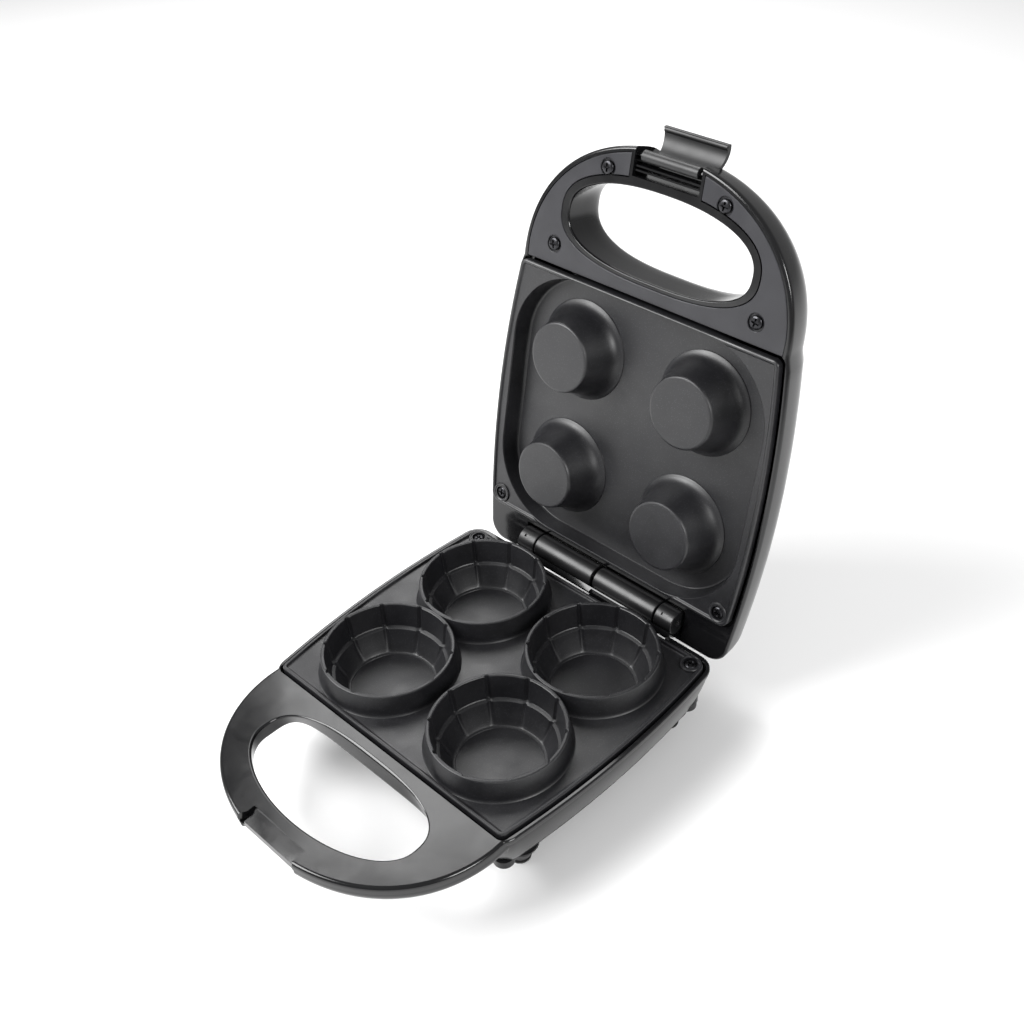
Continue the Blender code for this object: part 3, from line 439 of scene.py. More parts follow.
def ramp(material, value, low, high, low_value, high_value):
    """Map a value from one range to another, clamped."""
    node = add_node(material, "ShaderNodeMapRange")
    node.inputs["From Min"].default_value = low
    node.inputs["From Max"].default_value = high
    node.inputs["To Min"].default_value = low_value
    node.inputs["To Max"].default_value = high_value
    wire(material, value, node.inputs["Value"])
    return node.outputs["Result"]


def shader_of(material):
    return material.node_tree.nodes["Principled BSDF"]


def vary_roughness(material, scale, low, high, detail=4.0):
    value = ramp(material, noise(material, scale, detail), 0.3, 0.7, low, high)
    wire(material, value, shader_of(material).inputs["Roughness"])


def vary_color(material, value, dark, light):
    mix = add_node(material, "ShaderNodeMix", data_type="RGBA")
    mix.inputs[6].default_value = (*dark, 1.0)
    mix.inputs[7].default_value = (*light, 1.0)
    wire(material, value, mix.inputs[0])
    wire(material, mix.outputs[2], shader_of(material).inputs["Base Color"])
    return mix


def bump_layers(material, layers):
    """Chain bumps, each (height value, strength, depth in metres)."""
    previous = None
    for height, strength, depth in layers:
        bump = add_node(material, "ShaderNodeBump", Strength=strength, Distance=depth)
        wire(material, height, bump.inputs["Height"])
        if previous:
            wire(material, previous, bump.inputs["Normal"])
        previous = bump.outputs["Normal"]
    wire(material, previous, shader_of(material).inputs["Normal"])


def gloss_coat(name, color=(0.004, 0.004, 0.0045), ripple=0.22):
    """Glossy black moulding: soft flow ripple, a very fine texture and handling smears."""
    material = new_coat(name, color, 0.14, specular=0.5)
    smears = noise(material, 26.0, 5.0, 0.62, 0.6)
    wire(material, ramp(material, smears, 0.35, 0.72, 0.10, 0.24), shader_of(material).inputs["Roughness"])
    bump_layers(material, [(noise(material, 34.0, 2.0), ripple, 0.4 * MM),
                           (noise(material, 900.0, 2.0), 0.05, 0.05 * MM)])
    return material


def satin_coat(name, dark, light, roughness, grain=1500.0, strength=0.12):
    """Fine spark-eroded plastic: an even grain with slightly uneven sheen."""
    material = new_coat(name, light, roughness)
    vary_color(material, ramp(material, noise(material, 60.0, 4.0), 0.3, 0.7, 0.0, 1.0), dark, light)
    vary_roughness(material, 45.0, roughness - 0.05, roughness + 0.07)
    bump_layers(material, [(noise(material, grain, 2.0), strength, 0.06 * MM),
                           (noise(material, 40.0, 2.0), 0.12, 0.25 * MM)])
    return material


def nonstick_coat(name):
    """Sprayed non-stick: charcoal with pale flecks, an orange-peel surface and rubbed patches."""
    dark = (0.0045, 0.0045, 0.0055)
    light = (0.008, 0.008, 0.0098)
    fleck = (0.055, 0.055, 0.062)
    material = new_coat(name, dark, 0.5, specular=0.62)
    clouds = noise(material, 28.0, 5.0, 0.6)
    mix = vary_color(material, ramp(material, clouds, 0.3, 0.7, 0.0, 1.0), dark, light)
    where = add_node(material, "ShaderNodeTexCoord")
    cells = add_node(material, "ShaderNodeTexVoronoi", Scale=900.0)
    wire(material, where.outputs["Object"], cells.inputs["Vector"])
    spots = ramp(material, cells.outputs["Distance"], 0.12, 0.24, 0.55, 0.0)
    flecks = add_node(material, "ShaderNodeMix", data_type="RGBA")
    flecks.inputs[7].default_value = (*fleck, 1.0)
    wire(material, mix.outputs[2], flecks.inputs[6])
    wire(material, spots, flecks.inputs[0])
    wire(material, flecks.outputs[2], shader_of(material).inputs["Base Color"])
    vary_roughness(material, 55.0, 0.37, 0.50, 5.0)
    bump_layers(material, [(noise(material, 1300.0, 3.0), 0.28, 0.08 * MM),
                           (noise(material, 240.0, 3.0), 0.16, 0.12 * MM)])
    return material


def metal_coat(name, color, roughness, scale=700.0):
    material = new_coat(name, color, roughness, metallic=1.0)
    vary_roughness(material, scale, roughness - 0.08, roughness + 0.12)
    bump_layers(material, [(noise(material, scale, 3.0), 0.15, 0.05 * MM)])
    return material


def lens_coat(name, color):
    material = new_coat(name, color, 0.08, specular=0.6, coat=0.6)
    shader_of(material).inputs["Transmission Weight"].default_value = 0.35
    vary_roughness(material, 120.0, 0.05, 0.14)
    bump_layers(material, [(noise(material, 300.0, 2.0), 0.08, 0.1 * MM)])
    return material


GLOSS = gloss_coat("gloss_black")
COVER = satin_coat("satin_cover_black", (0.010, 0.010, 0.011), (0.016, 0.016, 0.017), 0.42)
PANEL = satin_coat("satin_panel_grey", (0.016, 0.016, 0.019), (0.023, 0.023, 0.027), 0.34)
BARREL = satin_coat("barrel_black", (0.005, 0.005, 0.0055), (0.009, 0.009, 0.0095), 0.36)
LATCH = satin_coat("latch_black", (0.004, 0.004, 0.0045), (0.009, 0.009, 0.0095), 0.46, 700.0, 0.2)
NONSTICK = nonstick_coat("nonstick_charcoal")
SCREW = metal_coat("screw_black", (0.040, 0.040, 0.043), 0.30)
STEEL = metal_coat("zinc_steel", (0.50, 0.50, 0.51), 0.30)
SHEATH = metal_coat("heater_sheath_steel", (0.26, 0.24, 0.22), 0.42)
REFLECTOR = metal_coat("aluminised_sheet", (0.60, 0.60, 0.61), 0.26)
CERAMIC = satin_coat("ceramic_white", (0.60, 0.58, 0.54), (0.72, 0.70, 0.66), 0.50)
RUBBER = satin_coat("rubber_black", (0.014, 0.014, 0.014), (0.022, 0.022, 0.022), 0.72, 1100.0, 0.3)
RED = lens_coat("lens_red", (0.60, 0.02, 0.02))
GREEN = lens_coat("lens_green", (0.02, 0.45, 0.08))


# ---------------------------------------------------------------- base

def cup_outline(x, y, radius, groove):
    """The inside of a cup at one height: ten slightly flattened panels between soft flutes."""
    sector = math.tau / GROOVES
    half_groove = 1.8 * MM / radius
    rest = sector - 2 * half_groove
    flute = [half_groove * i / 4 for i in range(5)]
    turns = flute + [half_groove + rest * i / 9 for i in range(1, 9)]
    turns += [sector - turn for turn in flute[:0:-1]]
    points = []
    for i in range(GROOVES):
        for turn in turns:
            near = min(turn, sector - turn)
            dip = groove * math.cos(math.pi / 2 * min(1.0, near / half_groove)) ** 1.4
            flat = 0.25 * MM * math.sin(math.pi * turn / sector)
            reach = radius + dip - flat
            angle = GROOVE_PHASE + i * sector + turn
            points.append((x + reach * math.cos(angle), y + reach * math.sin(angle)))
    return points


def cup_hollow(x, y):
    """Inside of a cup in (radius, groove depth, height) millimetre steps above its floor."""
    steps = [(24.9, 0.0, 0.0), (25.1, 0.0, 0.30), (25.5, 0.0, 0.40), (25.9, 0.0, 0.44), (26.5, 0.0, 0.7),
             (27.1, 0.1, 1.5), (27.9, 0.3, 3.0), (29.1, 0.6, 5.4), (30.5, 0.9, 8.4), (31.7, 1.1, 11.4),
             (32.4, 1.15, 13.5), (32.6, 1.2, 13.9), (33.6, 1.2, 14.3), (34.3, 1.2, 14.5), (34.7, 1.2, 15.0),
             (35.2, 1.2, 19.0), (36.0, 1.2, 25.0), (36.7, 1.25, 29.4), (36.85, 1.3, 29.95),
             (37.15, 1.3, 30.25), (37.6, 1.3, 30.38), (37.9, 1.3, 30.9)]
    return skin([[(px, py, FLOOR_Z + z * MM) for px, py in cup_outline(x, y, radius * MM, groove * MM)]
                 for radius, groove, z in steps])


def cup_wall(x, y):
    """Outside of a cup, flared where it grows from the plate and rounded at its rim."""
    profile = [(0.0, 29.0), (28.0, 29.0), (33.5, 33.0), (35.5, 38.0), (37.2, 44.0), (42.4, 45.5),
               (42.4, 47.8), (41.7, 48.25), (41.2, 48.8), (40.9, 49.6), (40.6, 51.0), (39.15, 60.9),
               (39.05, 61.4), (38.85, 61.75), (38.5, 61.95), (38.1, 62.0), (0.0, 62.0)]
    return spun([(radius * MM, height * MM) for radius, height in profile], x, y, steps=120)


def screw_boss(x, y, face, away):
    """A rounded ridge about a screw's seat on a plate; away is +1 above a plate and -1 below."""
    base = face - away * 1.0 * MM
    ring = [(0.0, 0.0), (6.4, 0.0), (6.4, 1.7), (6.0, 2.2), (5.3, 2.3), (4.8, 2.0), (0.0, 2.0)]
    return spun([(radius * MM, base + away * height * MM) for radius, height in ring], x, y, steps=48)


def screw_seat(x, y, floor, away):
    """The well that a plate screw's head stands in, with its shank hole."""
    bore = [(0.0, -12.0), (1.8, -12.0), (1.8, 0.0), (4.2, 0.0), (4.2, 3.4), (4.9, 6.0), (0.0, 6.0)]
    return spun([(radius * MM, floor + away * height * MM) for radius, height in bore], x, y, steps=48)


def lower_plate():
    lip = [(0.3 * MM, 45.0 * MM), (0.0, 45.4 * MM), (0.0, 49.1 * MM), (0.12 * MM, 49.5 * MM),
           (0.4 * MM, 49.85 * MM), (0.9 * MM, 50.0 * MM), (1.5 * MM, 50.0 * MM), (1.95 * MM, 49.85 * MM),
           (2.2 * MM, 49.5 * MM), (2.35 * MM, 48.9 * MM), (2.7 * MM, 48.4 * MM), (3.3 * MM, 48.15 * MM),
           (4.2 * MM, FIELD_Z)]
    plate = loft(plate_plan, lip)
    for x, y in four_cups():
        join(plate, cup_wall(x, y))
    for side in (-1, 1):
        x, y = side * PLATE_SCREW[0], PLATE_SCREW[1]
        join(plate, screw_boss(x, y, LIP_Z - 1.4 * MM, 1))
        cut(plate, screw_seat(x, y, LOWER_SEAT_Z, 1))
    for x, y in four_cups():
        cut(plate, cup_hollow(x, y))
    return place(plate, "lower_mould_plate", "base", NONSTICK, 28.0)


def base_housing():
    side = [(TAPER + 0.8 * MM, SEAM_Z), (TAPER + 0.2 * MM, SEAM_Z + 0.2 * MM),
            (TAPER - 0.2 * MM, SEAM_Z + 0.9 * MM), (4.9 * MM, 27.0 * MM), (3.0 * MM, 33.5 * MM),
            (1.5 * MM, 40.0 * MM), (1.15 * MM, 43.0 * MM), (1.1 * MM, 43.6 * MM), (0.55 * MM, 44.0 * MM),
            (0.35 * MM, 44.6 * MM), (0.0, 46.8 * MM), (0.1 * MM, 47.3 * MM), (0.45 * MM, 47.75 * MM),
            (1.0 * MM, DECK_Z)]
    tub = loft(tub_plan, side)
    edge = [(3.4 * MM, HANDLE_LOW_Z), (2.2 * MM, HANDLE_LOW_Z + 0.35 * MM),
            (1.2 * MM, HANDLE_LOW_Z + 1.2 * MM),
            (0.6 * MM, HANDLE_LOW_Z + 2.4 * MM), (0.3 * MM, HANDLE_LOW_Z + 4.2 * MM), (0.5 * MM, 42.6 * MM),
            (0.5 * MM, 43.0 * MM), (0.0, 43.4 * MM), (0.0, 45.8 * MM), (0.15 * MM, 46.7 * MM),
            (0.6 * MM, 47.4 * MM), (1.3 * MM, 47.8 * MM), (2.2 * MM, DECK_Z)]
    housing = join(tub, loft(handle_plan, edge))
    room = loft(tub_plan, [(TAPER + WALL, SEAM_Z - 1 * MM), (1.5 * MM + WALL, 40 * MM),
                           (1.3 * MM + WALL, 43 * MM)])
    seat = loft(seat_plan, [(0.0, 42 * MM), (0.0, DECK_Z - 0.5 * MM), (-0.2 * MM, DECK_Z - 0.15 * MM),
                            (-0.6 * MM, DECK_Z + 0.2 * MM)])
    cut(housing, room, seat)
    flare = [(-2.4 * MM, HANDLE_LOW_Z - 0.3 * MM), (-1.4 * MM, HANDLE_LOW_Z + 0.2 * MM),
             (-0.5 * MM, HANDLE_LOW_Z + 1.2 * MM), (0.0, HANDLE_LOW_Z + 2.6 * MM), (0.0, DECK_Z - 1.6 * MM),
             (-0.2 * MM, DECK_Z - 0.9 * MM), (-0.6 * MM, DECK_Z - 0.4 * MM), (-1.2 * MM, DECK_Z - 0.1 * MM),
             (-2.0 * MM, DECK_Z + 0.1 * MM)]
    top = flare[-1][1]
    rings = [(base_grip(-inset, (top - z) / (top - HANDLE_LOW_Z)), z) for inset, z in flare]
    cut(housing, skin([[(x, y, z) for x, y in outline] for outline, z in rings]))
    carve_catch(housing)
    cut(housing, block((2 * MM - HINGE_NOTCH_HALF, PLATE_BACK + 0.8 * MM, DECK_Z - 4.2 * MM),
                       (HINGE_NOTCH_HALF - 2 * MM, TUB_BACK + 1 * MM, DECK_Z + 2 * MM)))
    for side_sign in (-1, 1):
        x, y = side_sign * PLATE_SCREW[0], PLATE_SCREW[1]
        join(housing, peg(5.5 * MM, x, y, SEAM_Z, LIP_Z - PLATE_SKIRT - GAP))
        cut(housing, peg(SHANK_HOLE, x, y, 34 * MM, LIP_Z))
    join(housing, hinge_trough())
    far = BARREL_GAP + BARREL_LENGTH
    for start, end in ((BARREL_GAP, far), (-far - BARREL_GAP - KNUCKLE_LENGTH, -far - BARREL_GAP)):
        web = block((start + 0.4 * MM, TUB_BACK - 2.0 * MM, DECK_Z - 4.5 * MM),
                    (end - 0.4 * MM, HINGE_Y, DECK_Z + 1.0 * MM))
        join(housing, web, rod_x(BARREL_RADIUS, start, end, HINGE_Y, HINGE_Z, 0.7 * MM))
        cut(housing, rod_x(PIN_RADIUS, start - 1 * MM, end + 1 * MM, HINGE_Y, HINGE_Z, steps=24))
    slot_in_knuckle(housing, -far - BARREL_GAP - KNUCKLE_LENGTH / 2)
    bush_hole = peg(BUSH_HOLE_RADIUS, 0.0, 0.0, 0.0, 25 * MM, steps=32)
    bush_hole.data.transform(Matrix.Translation(BUSH_PLACE) @ Matrix.Rotation(-math.pi / 2, 4, "X"))
    cut(housing, bush_hole)
    return satin_barrels(place(housing, "base_housing", "base", GLOSS))


def base_cover():
    """The dished bottom cover, with tapered feet and screw posts."""
    top = SEAM_Z - GAP
    under = [(TAPER + 10 * MM, COVER_Z), (TAPER + 7.5 * MM, COVER_Z + 0.5 * MM),
             (TAPER + 4.6 * MM, COVER_Z + 1.9 * MM), (TAPER + 2.6 * MM, COVER_Z + 4.0 * MM),
             (TAPER + 1.0 * MM, COVER_Z + 6.4 * MM), (TAPER + 0.3 * MM, top - 0.3 * MM),
             (TAPER + 0.6 * MM, top)]
    cover = loft(tub_plan, under)
    cut(cover, loft(tub_plan, [(TAPER + 11 * MM, COVER_Z + 2.4 * MM), (TAPER + 3.4 * MM, top + 1 * MM)]))
    for side in (-1, 1):
        for x, y in (PLATE_SCREW, FRONT_POST):
            join(cover, peg(6.0 * MM, side * x * 0.99, y * 0.99, COVER_Z + 3.0 * MM, top))
            cut(cover, peg(THREAD_HOLE, side * x, y, COVER_Z - 2 * MM, top + 2 * MM),
                peg(4.0 * MM, side * x, y, COVER_Z - 2 * MM, COVER_Z + 5.0 * MM))
        for y in FOOT_YS:
            leg = [(0.0, 3.5), (6.2, 3.5), (6.5, 3.8), (9.2, 10.6), (9.9, 11.8), (11.0, 12.9), (11.0, 14.0),
                   (0.0, 14.0)]
            profile = [(radius * MM, height * MM) for radius, height in leg]
            join(cover, spun(profile, side * FOOT_X, y, steps=64))
            cut(cover, peg(3.0 * MM + GAP, side * FOOT_X, y, 2.5 * MM, 7.5 * MM))
    return place(cover, "base_cover", "base", COVER)


def satin_barrels(solid):
    """Give the faces of a placed housing's hinge barrels their finer-grained finish."""
    solid.data.materials.append(BARREL)
    for polygon in solid.data.polygons:
        middle = polygon.center
        off_axis = math.hypot(middle.y - HINGE.y, middle.z - HINGE.z)
        if off_axis < BARREL_RADIUS + 0.1 * MM and abs(middle.x) < HINGE_NOTCH_HALF:
            polygon.material_index = 1
    return solid


def hinge_trough():
    """The curved apron of the base that wraps the front and underside of the barrels."""
    near = BARREL_RADIUS + 0.55 * MM
    away = BARREL_RADIUS + 1.45 * MM
    section = arc(HINGE_Y, HINGE_Z, near, 195, 268, 16) + arc(HINGE_Y, HINGE_Z, away, 268, 215, 12)
    section += [(TUB_BACK - 1.2 * MM, 46.0 * MM), (TUB_BACK - 1.2 * MM, DECK_Z - 0.6 * MM)]
    half = HINGE_NOTCH_HALF - 1.2 * MM
    return skin([[(x, y, z) for y, z in section] for x in (-half, half)])


def slot_in_knuckle(solid, x, turn=38.0):
    """A small moulded slot across an end knuckle, turned back in degrees from its crest."""
    tool = block((x - 2.6 * MM, -0.9 * MM, BARREL_RADIUS - 1.1 * MM),
                 (x + 2.6 * MM, 0.9 * MM, BARREL_RADIUS + 2 * MM))
    tool.data.transform(AT_HINGE @ Matrix.Rotation(math.radians(turn), 4, "X"))
    cut(solid, tool)


def carve_catch(housing):
    """The catch that the latch hooks under, with a slanted left end."""
    half = NOTCH_HALF_WIDTH - 1 * MM
    outline = [(-half - 5.5 * MM, HANDLE_FRONT - 3 * MM), (half, HANDLE_FRONT - 3 * MM),
               (half, HANDLE_FRONT + CATCH_DEPTH), (-half, HANDLE_FRONT + CATCH_DEPTH),
               (-half, HANDLE_FRONT + 7.0 * MM)]
    front = [(-half - 1 * MM, HANDLE_FRONT - 3 * MM), (half + 1 * MM, HANDLE_FRONT - 3 * MM),
             (half + 1 * MM, HANDLE_FRONT + 3.0 * MM), (-half - 1 * MM, HANDLE_FRONT + 3.0 * MM)]
    under = [(-half - 1 * MM, HANDLE_FRONT - 3 * MM), (half + 1 * MM, HANDLE_FRONT - 3 * MM),
             (half + 1 * MM, HANDLE_FRONT + CATCH_DEPTH), (-half - 1 * MM, HANDLE_FRONT + CATCH_DEPTH)]
    bay = prism(outline, DECK_Z - 4 * MM, DECK_Z + 2 * MM)
    for corner in bay.data.vertices:
        if corner.co.z < DECK_Z and corner.co.y > HANDLE_FRONT + 11 * MM:
            corner.co.z = DECK_Z - 1.4 * MM
    pocket = prism([(-half - 5.5 * MM, HANDLE_FRONT - 3 * MM), (-half + 1.5 * MM, HANDLE_FRONT - 3 * MM),
                    (-half + 1.5 * MM, HANDLE_FRONT + 9.0 * MM), (-half, HANDLE_FRONT + 7.0 * MM)],
                   DECK_Z - 6 * MM, DECK_Z + 2 * MM)
    cut(housing, bay, pocket, prism(front, DECK_Z - 8 * MM, DECK_Z + 2 * MM),
        prism(under, HANDLE_LOW_Z - 2 * MM, HANDLE_LOW_Z + 3.5 * MM))


# ---------------------------------------------------------------- lid

def upper_plate():
    back = LID_LIP_Z + PLATE_SKIRT
    turned_in = [(3.4, 1.2), (2.9, 1.1), (2.5, 0.75), (2.2, 0.3), (1.8, 0.05), (1.3, 0.0), (0.8, 0.05),
                 (0.35, 0.3), (0.05, 0.8)]
    lip = [(inset * MM, LID_LIP_Z + rise * MM) for inset, rise in turned_in]
    lip += [(0.0, back - 0.4 * MM), (0.3 * MM, back)]
    plate = loft(plate_plan, lip)
    join(plate, pan_loft([(-0.9, -1.0, 52.4), (0.9, -0.6, 61.5), (2.4, 0.6, 64.4)]))
    cut(plate, pan_loft([(-1.6, -0.6, 50.3), (-1.0, -0.45, 51.5), (-0.55, -0.25, 51.72), (-0.15, -0.05, 52.1),
                         (0.15, 0.05, 52.8), (2.2, 0.7, 60.6), (2.5, 0.85, 61.5), (2.95, 1.05, 62.1),
                         (3.6, 1.35, 62.42), (4.4, 1.7, 62.5)]))
    for x, y in four_cups():
        join(plate, cone_former(x, y))
        core = [(0.0, 42.0), (17.6, 42.0), (21.6, 53.0), (23.6, 65.6), (0.0, 65.6)]
        cut(plate, spun([(radius * MM, height * MM) for radius, height in core], x, y, steps=48))
    for side in (-1, 1):
        x, y = side * LID_PLATE_SCREW[0], LID_PLATE_SCREW[1]
        join(plate, screw_boss(x, y, LID_LIP_Z + 1.4 * MM, -1))
        cut(plate, screw_seat(x, y, UPPER_SEAT_Z, -1))
    return place(plate, "upper_mould_plate", "lid", NONSTICK, 28.0)


def cone_former(x, y):
    """A tapered former with a round edge at its tip and a wide flare at its root."""
    profile = [(0.0, CONE_TOP_Z), (19.2 * MM, CONE_TOP_Z), (19.9 * MM, CONE_TOP_Z + 0.08 * MM),
               (20.5 * MM, CONE_TOP_Z + 0.35 * MM), (20.9 * MM, CONE_TOP_Z + 0.9 * MM),
               (21.15 * MM, CONE_TOP_Z + 1.7 * MM), (24.3 * MM, PAN_Z - 9.5 * MM),
               (25.1 * MM, PAN_Z - 6.6 * MM),
               (26.0 * MM, PAN_Z - 4.4 * MM), (27.1 * MM, PAN_Z - 2.7 * MM), (28.3 * MM, PAN_Z - 1.6 * MM),
               (29.4 * MM, PAN_Z - 1.0 * MM), (30.1 * MM, PAN_Z - 0.75 * MM), (30.45 * MM, PAN_Z - 0.45 * MM),
               (30.6 * MM, PAN_Z), (30.6 * MM, PAN_Z + 1.2 * MM), (0.0, PAN_Z + 1.2 * MM)]
    return spun(profile, x, y, steps=120)


SHELL_SIDE = [(0.0, 56.4 * MM), (0.35 * MM, 60.0 * MM), (1.2 * MM, 66.0 * MM), (2.5 * MM, 71.5 * MM),
              (4.4 * MM, 76.0 * MM), (6.6 * MM, 79.6 * MM), (9.2 * MM, 82.3 * MM), (12.2 * MM, 84.1 * MM),
              (15.4 * MM, LID_TOP_Z)]
RIM_ROUND = [(2.0 * MM, LID_RIM_Z), (1.1 * MM, LID_RIM_Z + 0.12 * MM), (0.5 * MM, LID_RIM_Z + 0.5 * MM),
             (0.12 * MM, LID_RIM_Z + 1.1 * MM)]


def lid_housing():
    shell = loft(shell_plan, RIM_ROUND + smooth_line(SHELL_SIDE, 3))
    crown = [(12.4 * MM, 82 * MM), (13.6 * MM, 85.4 * MM), (15.0 * MM, 87.6 * MM), (17.5 * MM, 89.4 * MM),
             (21.0 * MM, 90.7 * MM), (26.0 * MM, 91.7 * MM), (33.0 * MM, 92.3 * MM), (42.0 * MM, LID_CROWN_Z)]
    join(shell, loft(tub_plan, crown))
    cut(shell, loft(tub_plan, [(3.4 * MM, LID_RIM_Z + 3 * MM), (6.6 * MM, 76 * MM), (13 * MM, 82 * MM),
                               (20 * MM, 86.5 * MM), (34 * MM, 89.6 * MM)]),
        loft(tail_plan, [(0.0, 63.5 * MM), (1.5 * MM, 74 * MM), (5 * MM, 79 * MM)]),
        loft(seat_plan, [(-0.6 * MM, LID_RIM_Z - 0.2 * MM), (-0.2 * MM, LID_RIM_Z + 0.15 * MM),
                         (0.0, LID_RIM_Z + 0.5 * MM), (0.0, LID_RIM_Z + 4 * MM)]))
    cut(shell, handle_room())
    flare = [(-1.2 * MM, LID_RIM_Z - 0.2 * MM), (-0.5 * MM, LID_RIM_Z + 0.2 * MM),
             (-0.1 * MM, LID_RIM_Z + 0.8 * MM), (0.0, LID_RIM_Z + 1.6 * MM), (0.0, 70 * MM),
             (-0.2 * MM, 75 * MM), (-0.7 * MM, 79 * MM), (-1.5 * MM, 82 * MM), (-2.6 * MM, 84.2 * MM),
             (-3.7 * MM, 85.3 * MM)]
    cut(shell, loft(lambda inset: lid_grip(-inset), flare))
    carve_latch_bay(shell)
    carve_hinge_bay(shell)
    for side in (-1, 1):
        cut(shell, peg(4.3 * MM, side * LAMP_X, LAMP_Y, LID_CROWN_Z - 6 * MM, LID_CROWN_Z + 4 * MM))
    return satin_barrels(place(shell, "lid_housing", "lid", GLOSS))


def handle_room():
    """The panel's recess and the hollow above it, round the finger opening."""
    recess = prism(handle_plan(2.8 * MM, PANEL_BACK_Y, 3), LID_RIM_Z - 1 * MM,
                   LID_RIM_Z + PANEL_THICK + 0.2 * MM)
    hollow = loft(lambda inset: handle_plan(inset, PANEL_BACK_Y - 1 * MM, 3),
                  [(4.4 * MM, LID_RIM_Z + 2 * MM), (6.5 * MM, 74 * MM), (10.5 * MM, 80 * MM)])
    room = join(recess, hollow)
    cut(room, prism(panel_hole(2.4 * MM), LID_RIM_Z - 3 * MM, LID_RIM_Z + 40 * MM))
    for side in (-1, 1):
        for x, y in PANEL_SCREWS:
            cut(room, peg(4.6 * MM, side * x, y, LID_RIM_Z + PANEL_THICK + 0.2 * MM, LID_RIM_Z + 40 * MM))
    reach = NOTCH_HALF_WIDTH + 1.8 * MM
    return cut(room, block((-reach, -170 * MM, LID_RIM_Z - 3 * MM), (reach, -144 * MM, LID_RIM_Z + 40 * MM)))


def carve_latch_bay(shell):
    back = LATCH_Y + 5.6 * MM
    half = NOTCH_HALF_WIDTH
    cut(shell, block((-half, HANDLE_FRONT - 3 * MM, LID_RIM_Z - 2 * MM), (half, back, LID_CROWN_Z)),
        block((-half, back - 1 * MM, LID_RIM_Z - 2 * MM), (half, -149.4 * MM, LID_RIM_Z + 7 * MM)))
    for y in (-152.6 * MM, -155.0 * MM):
        join(shell, block((-half - 0.5 * MM, y - 0.5 * MM, LID_RIM_Z + 1.4 * MM),
                          (half + 0.5 * MM, y + 0.5 * MM, LID_RIM_Z + 8 * MM)))
    reach = half + 3.4 * MM
    cut(shell, rod_x(LATCH_ROD_BORE, -reach, reach, LATCH_Y, LATCH_Z, steps=24))


def carve_hinge_bay(shell):
    clear = BARREL_RADIUS + 1.5 * MM
    half = HINGE_NOTCH_HALF
    cut(shell, block((-half, HINGE_Y - clear, LID_RIM_Z - 3 * MM),
                     (half, LID_BACK + 3 * MM, HINGE_Z + 4 * MM)),
        rod_x(clear, -half, half, HINGE_Y, HINGE_Z))
    far = BARREL_GAP + BARREL_LENGTH
    for start, end in ((-far, -BARREL_GAP), (far + BARREL_GAP, far + BARREL_GAP + KNUCKLE_LENGTH)):
        web = block((start + 0.4 * MM, HINGE_Y - 3.0 * MM, HINGE_Z),
                    (end - 0.4 * MM, HINGE_Y + 4.0 * MM, HINGE_Z + clear + 1.5 * MM))
        join(shell, web, rod_x(BARREL_RADIUS, start, end, HINGE_Y, HINGE_Z, 0.7 * MM))
        cut(shell, rod_x(PIN_RADIUS, start - 1 * MM, end + 1 * MM, HINGE_Y, HINGE_Z, steps=24))
    slot_in_knuckle(shell, far + BARREL_GAP + KNUCKLE_LENGTH / 2, 38 + math.degrees(LID_OPEN))


def handle_panel():
    """The satin cover of the lid's handle, with rounded edges and round screw wells."""
    low = LID_RIM_Z
    high = LID_RIM_Z + PANEL_THICK
    edge = [(3.9 * MM, low), (3.4 * MM, low + 0.1 * MM), (3.15 * MM, low + 0.35 * MM),
            (3.1 * MM, low + 0.8 * MM), (3.1 * MM, high)]
    panel = loft(lambda inset: handle_plan(inset, PANEL_BACK_Y - GAP - (inset - 3.1 * MM), 3), edge)
    hole = [(-3.5 * MM, low - 0.1 * MM), (-3.1 * MM, low + 0.15 * MM), (-2.85 * MM, low + 0.5 * MM),
            (-2.8 * MM, low + 0.9 * MM), (-2.8 * MM, high + 1 * MM)]
    cut(panel, loft(lambda inset: panel_hole(-inset), hole))
    reach = NOTCH_HALF_WIDTH + 2.2 * MM
    cut(panel, block((-reach, -170 * MM, low - 1 * MM), (reach, -142 * MM, high + 1 * MM)))
    well = [(0.0, -1.0), (5.5, -1.0), (5.3, 0.0), (4.95, 0.3), (4.9, 1.2), (1.8, 1.2), (1.8, 4.0), (0.0, 4.0)]
    profile = [(radius * MM, low + height * MM) for radius, height in well]
    for side in (-1, 1):
        for x, y in PANEL_SCREWS:
            cut(panel, spun(profile, side * x, y, steps=48))
    return place(panel, "handle_panel", "lid", PANEL)


def latch():
    """A bowed hook on a round hub, flared at the sides, with a rolled thumb lip at its tip."""
    middle_out = -LATCH_Y - 3.4 * MM
    middle_z = LATCH_Z - 10.4 * MM
    inner = arc(middle_out, middle_z, 11.2 * MM, 68, -78, 30)
    outer = arc(middle_out, middle_z, 13.4 * MM, 60, -76, 30)
    outline = inner + list(reversed(outer))
    rings = []
    for x in [i / 24 * 2 - 1 for i in range(25)]:
        ring = []
        for out, height in outline:
            down = max(0.0, LATCH_Z - height) / (22 * MM)
            half = 18.0 * MM + 3.2 * MM * down ** 1.4
            ring.append((x * half, -out, height))
        rings.append(ring)
    hook = skin(rings)
    tip_out, tip_z = arc(middle_out, middle_z, 12.2 * MM, -69, -69, 1)[0]
    join(hook, rod_x(1.75 * MM, -20.9 * MM, 20.9 * MM, -tip_out, tip_z, 0.5 * MM, 24),
         rod_x(3.2 * MM, -18.6 * MM, 18.6 * MM, LATCH_Y, LATCH_Z, 0.4 * MM))
    cut(hook, rod_x(LATCH_ROD_BORE, -21 * MM, 21 * MM, LATCH_Y, LATCH_Z, steps=24))
    return place(hook, "latch", "latch", LATCH)


# ---------------------------------------------------------------- screws

